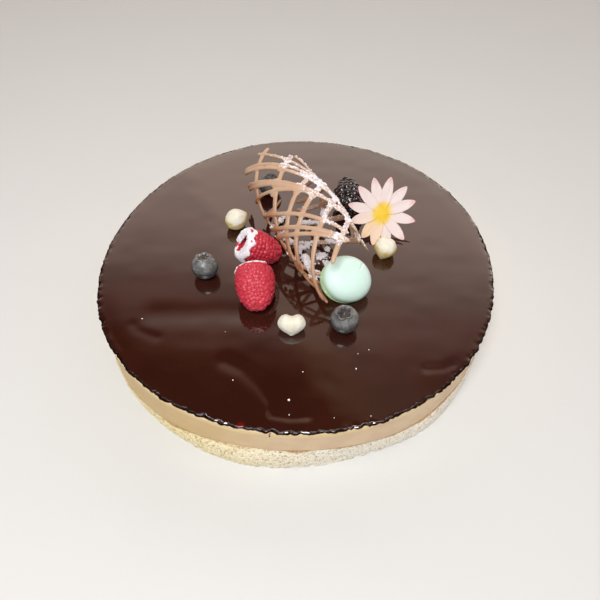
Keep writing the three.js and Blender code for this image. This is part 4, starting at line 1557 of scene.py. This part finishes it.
def strip_path(strip, lift, steps):
    """Middle line of a strip on the flat sheet: across, along, out, and its share from 0 to 1."""
    (x0, y0), (x1, y1), flare, bow = strip
    share = np.linspace(0, 1, steps)
    out = lift + flare * np.clip(2 * share - 1, 0, None) ** 2
    aside = 4 * bow * share * (1 - share) / math.hypot(x1 - x0, y1 - y0)
    across = x0 + (x1 - x0) * share - (y1 - y0) * aside
    along = y0 + (y1 - y0) * share + (x1 - x0) * aside
    return across, along, out, share


def strip_mesh(strip, lift, width, thickness, seed):
    """A piped strip with a rounded section, a little uneven in width and line."""
    (x0, y0), (x1, y1), _, _ = strip
    run = math.hypot(x1 - x0, y1 - y0)
    across, along, out, share = strip_path(strip, lift, max(12, int(run / STRIP_STEP)))
    side = np.array([-(y1 - y0), x1 - x0]) / run
    line = np.stack([share * run, 0 * share, 0 * share + seed * 7.7], -1)
    sway = 0.35 * soft_noise(line, 14.0, seed) * np.sin(math.pi * share)
    swell = 1 + 0.10 * soft_noise(line, 9.0, seed + 40) + 0.07 * soft_noise(line, 3.0, seed + 80)
    swell = swell * (OVER_WIDTH if lift else 1.0) - 0.08 * smooth_step(70, 88, along)
    # A strip is thinner just before each end, and its end is round.
    to_end = np.minimum(share, 1 - share) * run
    swell = swell * (0.75 + 0.25 * smooth_step(0.0, 3.0, to_end))
    ends = np.sqrt(np.clip(1 - (1 - to_end / (width / 2)).clip(0, 1) ** 2, 0.02, 1))
    section = full_turn(STRIP_SECTION)
    squarish = np.sign(np.cos(section)) * np.abs(np.cos(section)) ** 0.6
    wide = squarish[None, :] * (width / 2 * swell * ends)[:, None] + sway[:, None]
    high = np.sin(section)[None, :] * (thickness / 2 * (0.4 + 0.6 * ends))[:, None]
    grid = roll_point(across[:, None] + side[0] * wide, along[:, None] + side[1] * wide, out[:, None] + high)
    return closed_round(grid)


def strip_crossings():
    """Where the strips cross on the flat sheet: (across, along)."""
    found = []
    strips = UNDER_STRIPS + OVER_STRIPS
    for i, (a, b, _, _) in enumerate(strips):
        for c, d, _, _ in strips[i + 1:]:
            ab, cd = np.subtract(b, a), np.subtract(d, c)
            turned = ab[0] * cd[1] - ab[1] * cd[0]
            if abs(turned) < PARALLEL:
                continue
            gap = np.subtract(c, a)
            s = (gap[0] * cd[1] - gap[1] * cd[0]) / turned
            t = (gap[0] * ab[1] - gap[1] * ab[0]) / turned
            if STRIP_END < s < 1 - STRIP_END and STRIP_END < t < 1 - STRIP_END:
                found.append(tuple(np.add(a, ab * s)))
    return found


def joint_web(across, along, size):
    """A rounded pad where two strips melt together, lying on the roll."""
    polar = np.linspace(math.pi - 0.05, 0.05, WEB_ROWS)
    grid = turned_grid(size * np.sin(polar) ** 0.6, WEB_HEIGHT * np.cos(polar), WEB_AROUND)
    return closed_round(roll_point(across + grid[..., 0], along + grid[..., 1], ROLL_LIFT / 2 + grid[..., 2]))


def roll_shift():
    """Where the roll lies in the frame: the strips' box against the CAD node's box."""
    lines = np.concatenate([roll_point(*strip_path(strip, lift, 40)[:3]) for strip, lift in PIPED])
    low, high = node_box("chocolate_lattice")
    shift = (low + high) / 2 - (lines.min(0) + lines.max(0)) / 2
    shift[2] = low[2] - REST_GAP - (lines[:, 2].min() - ROLL_FOOT)
    return shift


def lattice_material(settings):
    recipe = Recipe("milk_chocolate", Roughness=0.42, Subsurface_Weight=0.12,
                    Subsurface_Radius=(0.002, 0.0011, 0.0006))
    drift = recipe.noise(7, 3)
    fine = recipe.noise(0.7, 3, 0.6)
    base = recipe.mix(recipe.range(drift, 0.3, 0.7), settings.chocolate, colour("c8a789"))
    base = recipe.mix(recipe.range(fine, 0.55, 0.8, 0.0, 0.4), base, colour("d0ae90"))
    # Painted shade: the strips that turn under the roll are painted a browner, more orange tone.
    browned = recipe.math("MULTIPLY", recipe.painted("browned"), recipe.range(drift, 0.3, 0.7, 0.45, 0.95))
    base = recipe.mix(browned, base, colour("b0724a"))
    dust = recipe.math("MULTIPLY", recipe.range(recipe.painted("dusted"), 0.1, 0.9),
                       recipe.range(recipe.noise(0.9, 3, 0.7), 0.44, 0.6))
    base = recipe.mix(dust, base, colour("f4f0f2"))
    recipe.shade("Base Color", base)
    recipe.shade("Roughness", recipe.range(dust, 0.0, 1.0, 0.4, 0.9))
    recipe.shade("Normal", recipe.bump(fine, 0.06, 0.5))
    return recipe.material


def sugar_weight(across, along):
    """How thick the icing sugar lies on the sheet: along the ridge, and on the floor inside."""
    ridge = smooth_step(5, -2, across) * smooth_step(-36, -18, across)
    ridge = ridge * smooth_step(8, 18, along) * smooth_step(96, 86, along)
    joints = np.zeros(len(across))
    for x, y in strip_crossings():
        joints = np.maximum(joints, smooth_step(4.5, 2.0, np.hypot(across - x, along - y)))
    floor = smooth_step(34, 42, np.abs(across)) * smooth_step(24, 36, along) * smooth_step(86, 72, along)
    return np.clip(ridge * (0.55 + 0.6 * joints) + floor, 0, 1)


def paint_lattice(piece, shift):
    """Paints where icing sugar lies on the lattice, and painted shade: a browner tone on the strips that turn
    under the roll on both sides.
    """
    across, along = unrolled(mesh_points(piece.data) - shift)
    upward = smooth_step(0.0, 0.6, mesh_normals(piece.data)[:, 2])
    paint_points(piece, "dusted", upward * sugar_weight(across, along))
    # Painted shade: where the strips turn under the roll, on both sides.
    turned_under = smooth_step(15, 28, across)
    paint_points(piece, "browned", np.maximum(turned_under, 0.8 * smooth_step(-28, -40, across)))


class CAKE_OT_lattice(Operator):
    """Pipes the chocolate lattice, rolls it up and fuses its joints"""
    bl_idname = "cake.add_lattice"
    bl_label = "Chocolate Lattice"

    def execute(self, context):
        settings = context.scene.mousse_cake.lattice
        shift = roll_shift()
        width, thickness = settings.strip_width / MM, settings.strip_thickness / MM
        skins = [strip_mesh(strip, lift, width, thickness, seed)
                 for seed, (strip, lift) in enumerate(PIPED, start=1)]
        for across, along in strip_crossings() + list(MELTED):
            skins.append(joint_web(across, along, WEB_SIZE * width))
        points, faces = join_skins(skins)
        piece = make_piece("piped_lattice", points + shift, faces, lattice_material(settings),
                           "chocolate_lattice")
        fuse(piece, LATTICE_VOXEL, smoothing=3)
        paint_lattice(piece, shift)
        return {"FINISHED"}


# ---------------------------------------------------------------- icing sugar
def sugar_material():
    recipe = Recipe("icing_sugar", Roughness=0.95, Subsurface_Weight=0.1,
                    Subsurface_Radius=(0.001, 0.001, 0.001))
    fine = recipe.noise(0.4, 3, 0.7)
    clumps = recipe.noise(2.2, 2)
    base = recipe.mix(recipe.range(clumps, 0.35, 0.65), colour("f6f2f5"), colour("e9e2e8"))
    base = recipe.mix(recipe.range(fine, 0.6, 0.85, 0.0, 0.35), base, colour("cdbfc2"))
    recipe.shade("Base Color", base)
    recipe.shade("Normal", recipe.bump(fine, 0.12, 0.8))
    return recipe.material


SUGAR_SHARE = 0.34              # share of the lattice's points that carry a clump where it is thickest
LOW_CLUMPS = 1.1                # how much larger the clumps are low inside the roll
LATTICE_SUGAR_VOXEL = 0.28
RIM_SUGAR_VOXEL = 0.22
# Heaps of icing sugar that fell through onto the floor of the roll: place in the frame and size.
SUGAR_HEAPS = (
    (5.6, 7.8, 2.3), (3.3, -2.5, 2.6), (14.0, -0.9, 3.1), (10.3, -14.5, 2.8),
    (7.7, -7.8, 1.7), (17.0, 4.6, 1.5), (0.5, 3.0, 1.5), (16.5, -7.0, 2.0),
)
HEAP_HEIGHT = 2.4
HEAP_SPREAD = 0.45
HEAP_CLUMPS = 34                # clumps for each millimetre of a heap's size
HEAP_CLUMP_RADII = (0.4, 0.75)
# Icing sugar on each raspberry's rim: clump radius, spread in degrees, inset, thickness, count,
# and whether it half closes the mouth.
RIM_SUGAR = (
    (0.66, (-180, 180), 0.75, 0.7, 4600, True),
    (0.5, (-195, -40), -0.45, 0.28, 900, False),
)
RIM_SUGAR_LIFT = 0.6
# The plain raspberry that gives its seat: points round it, and its lip as a share of the rim.
SEAT_AROUND = 60
SEAT_LIP = 0.7
# The sugar leaves an oblong hole in the mouth, turned a little, and a notch at one side.
MOUTH_TURN = math.radians(8.5)
MOUTH_HOLE = (6.0, 3.1)
MOUTH_LIFT = 1.45
NOTCH_TURN = math.radians(150.5)
NOTCH_HALF_WIDTH = 0.26         # radians
NOTCH_DEPTH = 0.55              # share of the radius at which the notch ends


def rim_shift(node, scale, axis):
    """How far a raspberry was shifted to its seat."""
    radii, heights = raspberry_profile(scale)
    lip = turned_grid([radii[-1] * SEAT_LIP], [heights[-1] + RASPBERRY_LIP], SEAT_AROUND)
    points, _ = closed_round(np.concatenate([turned_grid(radii, heights, SEAT_AROUND), lip]))
    return seat(points, node, axis)[1]


def mouth_clumps(angle, rim, off, chance):
    """Angle, radius and height of clumps that half close a raspberry's mouth."""
    along, across = MOUTH_HOLE
    turned = angle - MOUTH_TURN
    hole = 1 / np.hypot(np.cos(turned) / along, np.sin(turned) / across)
    ragged = 1.9 + 0.7 * np.sin(3 * angle + 1) * np.sin(5 * angle)
    radius = hole + (rim + ragged - hole) * chance.random(len(angle)) ** 0.7
    height = MOUTH_LIFT - 0.5 * (1 - radius / rim).clip(0, 1) + 0.3 * off[:, 1]
    height -= 0.6 * (radius - rim).clip(0, None) ** 2
    from_notch = np.abs(np.angle(np.exp(1j * (angle - NOTCH_TURN))))
    keep = (from_notch > NOTCH_HALF_WIDTH) | (radius < NOTCH_DEPTH * rim)
    return angle[keep], radius[keep], height[keep]


def rim_sugar_clumps(scale, spread, inset, thick, count, half_closed, chance):
    """Clumps of icing sugar round a raspberry's rim, over a spread of angles in degrees."""
    radii, heights = raspberry_profile(scale)
    rim = radii[-1] - inset
    angle = np.radians(chance.uniform(*spread, count))
    off = chance.normal(0, 1, (count, 2)) * thick
    radius = rim + off[:, 0]
    height = RIM_SUGAR_LIFT + np.abs(off[:, 1]) * 0.5 - 0.25 * np.abs(off[:, 0])
    if half_closed:
        angle, radius, height = mouth_clumps(angle, rim, off, chance)
    return round_points(radius, angle, heights[-1] + height)


def heap_clumps(chance):
    """Middles of the clumps in the heaps on the roll's floor."""
    heaps = []
    for x, y, size in SUGAR_HEAPS:
        off = chance.normal(0, HEAP_SPREAD * size, (int(HEAP_CLUMPS * size), 2))
        top = HEAP_HEIGHT * (1 - (np.hypot(off[:, 0], off[:, 1]) / size) ** 2).clip(0.15)
        heap = np.column_stack([off, top * chance.random(len(off))])
        heaps.append(heap + [x, y, GLAZE_TOP])
    return np.concatenate(heaps)


def dusted_clumps(lattice, grain, chance):
    """Middles and radii of the clumps on the lattice's strips."""
    places, normals = mesh_points(lattice), mesh_normals(lattice)
    weight = np.empty(len(lattice.vertices))
    lattice.attributes["dusted"].data.foreach_get("value", weight)
    patches = smooth_step(-0.15, 0.45, soft_noise(places, 4.0, 82) + 0.8 * soft_noise(places, 1.5, 83))
    keep = chance.random(len(weight)) < SUGAR_SHARE * weight * patches
    clumps = places[keep] + normals[keep] * grain * 0.2
    low = smooth_step(GLAZE_TOP + 9, GLAZE_TOP + 5, clumps[:, 2])
    return clumps, grain * chance.uniform(0.6, 1.25, len(clumps)) * (1 + LOW_CLUMPS * low)


class CAKE_OT_icing_sugar(Operator):
    """Dusts the lattice and the raspberries' rims with clumps of icing sugar"""
    bl_idname = "cake.add_icing_sugar"
    bl_label = "Icing Sugar"

    def execute(self, context):
        settings = context.scene.mousse_cake.lattice
        material = sugar_material()
        chance = np.random.default_rng(81)
        clumps, radii = dusted_clumps(bpy.data.objects["piped_lattice"].data, settings.grain / MM, chance)
        loose = np.random.default_rng(84)
        heaps = heap_clumps(loose)
        points, faces = many_balls(np.concatenate([clumps, heaps]),
                                   np.append(radii, loose.uniform(*HEAP_CLUMP_RADII, len(heaps))), steps=1)
        piece = make_piece("lattice_icing_sugar", points, faces, material)
        fuse(piece, LATTICE_SUGAR_VOXEL, smoothing=1)
        for (node, scale, axis, _, _), (size, *layer) in zip(RASPBERRIES, RIM_SUGAR):
            clumps = rim_sugar_clumps(scale, *layer, chance)
            clumps = clumps @ turn_to(axis) + rim_shift(node, scale, axis)
            points, faces = many_balls(clumps, size * chance.uniform(0.6, 1.2, len(clumps)), steps=1)
            piece = make_piece(node + "_icing_sugar", points, faces, material)
            fuse(piece, RIM_SUGAR_VOXEL, smoothing=2)
        return {"FINISHED"}


# ---------------------------------------------------------------- crumbs and drip
# Crumbs of sugar and nut on the glaze: place in the frame and size, in millimetres.
SPECKS = (
    (35.2, -64.4, 0.6), (29.6, -66.7, 0.5), (28.1, -75.3, 0.8), (2.6, -77.0, 0.55),
    (-3.9, -92.0, 1.05), (-3.8, -99.6, 0.5), (16.5, -101.1, 0.4), (33.3, -100.1, 0.5),
    (-36.6, -53.5, 0.35), (-30.5, -81.4, 0.6), (-80.0, -45.4, 0.7),
)
LUMPS_IN_CRUMB = 4


class CAKE_OT_specks(Operator):
    """Scatters the few crumbs that lie on the glaze"""
    bl_idname = "cake.add_specks"
    bl_label = "Crumbs on the Glaze"

    def execute(self, context):
        chance = np.random.default_rng(91)
        centres, radii = [], []
        for x, y, size in SPECKS:
            for _ in range(LUMPS_IN_CRUMB):
                offset = chance.normal(0, size * 0.2, 2)
                centres.append([x + offset[0], y + offset[1], GLAZE_TOP + size * 0.2])
                radii.append(size * chance.uniform(0.3, 0.45))
        points, faces = many_balls(np.array(centres), np.array(radii), steps=2, squash=0.8)
        points += (0.08 * soft_noise(points, 0.5, 92))[:, None]
        make_piece("glaze_crumbs", points, faces, sugar_material())
        return {"FINISHED"}


DRIP_TURN = -96.9               # degrees
DRIP_LENGTH = 3.6
DRIP_STEPS = 40
DRIP_AROUND = 16
DRIP_NECK = 0.24                # half its thickness at the top
DRIP_SWELL = 0.2                # and how much thicker it is near its end


def drip_shape():
    """A drip that bends a little on its way down the mousse, with a swollen round end."""
    share = np.linspace(0, 1, DRIP_STEPS)
    turn = math.radians(DRIP_TURN) + (0.9 * (1 - share) ** 2 - 0.2 * np.sin(5 * share)) / CAKE_RADIUS
    radius = rim_radius(turn) - MOUSSE_INSET + 0.05
    spine = round_points(radius, turn, MOUSSE_TOP + 0.3 - DRIP_LENGTH * share)
    thick = DRIP_NECK + DRIP_SWELL * smooth_step(0.5, 0.9, share)
    thick *= np.sqrt(np.clip(1 - np.clip((share - 0.9) / 0.1, 0, 1) ** 2, 0.02, 1))
    side, out = round_points(1, turn[0] + math.pi / 2, 0), round_points(1, turn[0], 0)
    section = full_turn(DRIP_AROUND)[:, None]
    ring = np.cos(section) * side + np.sin(section) * out
    return closed_round(spine[:, None, :] + thick[:, None, None] * ring)


def drip_material():
    recipe = Recipe("drip_glaze", Roughness=0.15, Coat_Weight=0.5)
    mottle = recipe.range(recipe.noise(1.5, 2), 0.3, 0.7)
    recipe.shade("Base Color", recipe.mix(mottle, colour("5c1a10"), colour("7a2416")))
    return recipe.material


class CAKE_OT_drip(Operator):
    """Lets one small drip of glaze run down the mousse"""
    bl_idname = "cake.add_drip"
    bl_label = "Drip"

    def execute(self, context):
        points, faces = drip_shape()
        make_piece("glaze_drip", points + CENTRE, faces, drip_material())
        return {"FINISHED"}


# ---------------------------------------------------------------- panel and registration
OPERATORS = (
    CAKE_OT_stage, CAKE_OT_sponge, CAKE_OT_mousse, CAKE_OT_glaze, CAKE_OT_blueberries, CAKE_OT_raspberries,
    CAKE_OT_bramble, CAKE_OT_hazelnuts, CAKE_OT_macaron, CAKE_OT_flower, CAKE_OT_lattice,
    CAKE_OT_icing_sugar, CAKE_OT_specks, CAKE_OT_drip,
)
SETTINGS = (
    SpongeSettings, MousseSettings, GlazeSettings, BerrySettings, SweetSettings, LatticeSettings,
    StageSettings, CakeSettings,
)


class VIEW3D_PT_mousse_cake(Panel):
    """Lists the cake's settings and the pieces that it is made of"""
    bl_label = "Mousse Cake"
    bl_idname = "VIEW3D_PT_mousse_cake"
    bl_space_type = "VIEW_3D"
    bl_region_type = "UI"
    bl_category = "Cake"

    def draw(self, context):
        settings = context.scene.mousse_cake
        for group in ("sponge", "mousse", "glaze", "berries", "sweets", "lattice", "stage"):
            box = self.layout.box()
            box.label(text=group.title())
            values = getattr(settings, group)
            for name in values.__annotations__:
                box.prop(values, name)
        for operator in OPERATORS:
            self.layout.operator(operator.bl_idname)


def register():
    for group in SETTINGS:
        bpy.utils.register_class(group)
    bpy.types.Scene.mousse_cake = PointerProperty(type=CakeSettings)
    for operator in OPERATORS:
        bpy.utils.register_class(operator)
    bpy.utils.register_class(VIEW3D_PT_mousse_cake)


def unregister():
    bpy.utils.unregister_class(VIEW3D_PT_mousse_cake)
    for operator in reversed(OPERATORS):
        bpy.utils.unregister_class(operator)
    del bpy.types.Scene.mousse_cake
    for group in reversed(SETTINGS):
        bpy.utils.unregister_class(group)


def main():
    register()
    for operator in OPERATORS:
        group, name = operator.bl_idname.split(".")
        getattr(getattr(bpy.ops, group), name)()


if __name__ == "__main__":
    main()
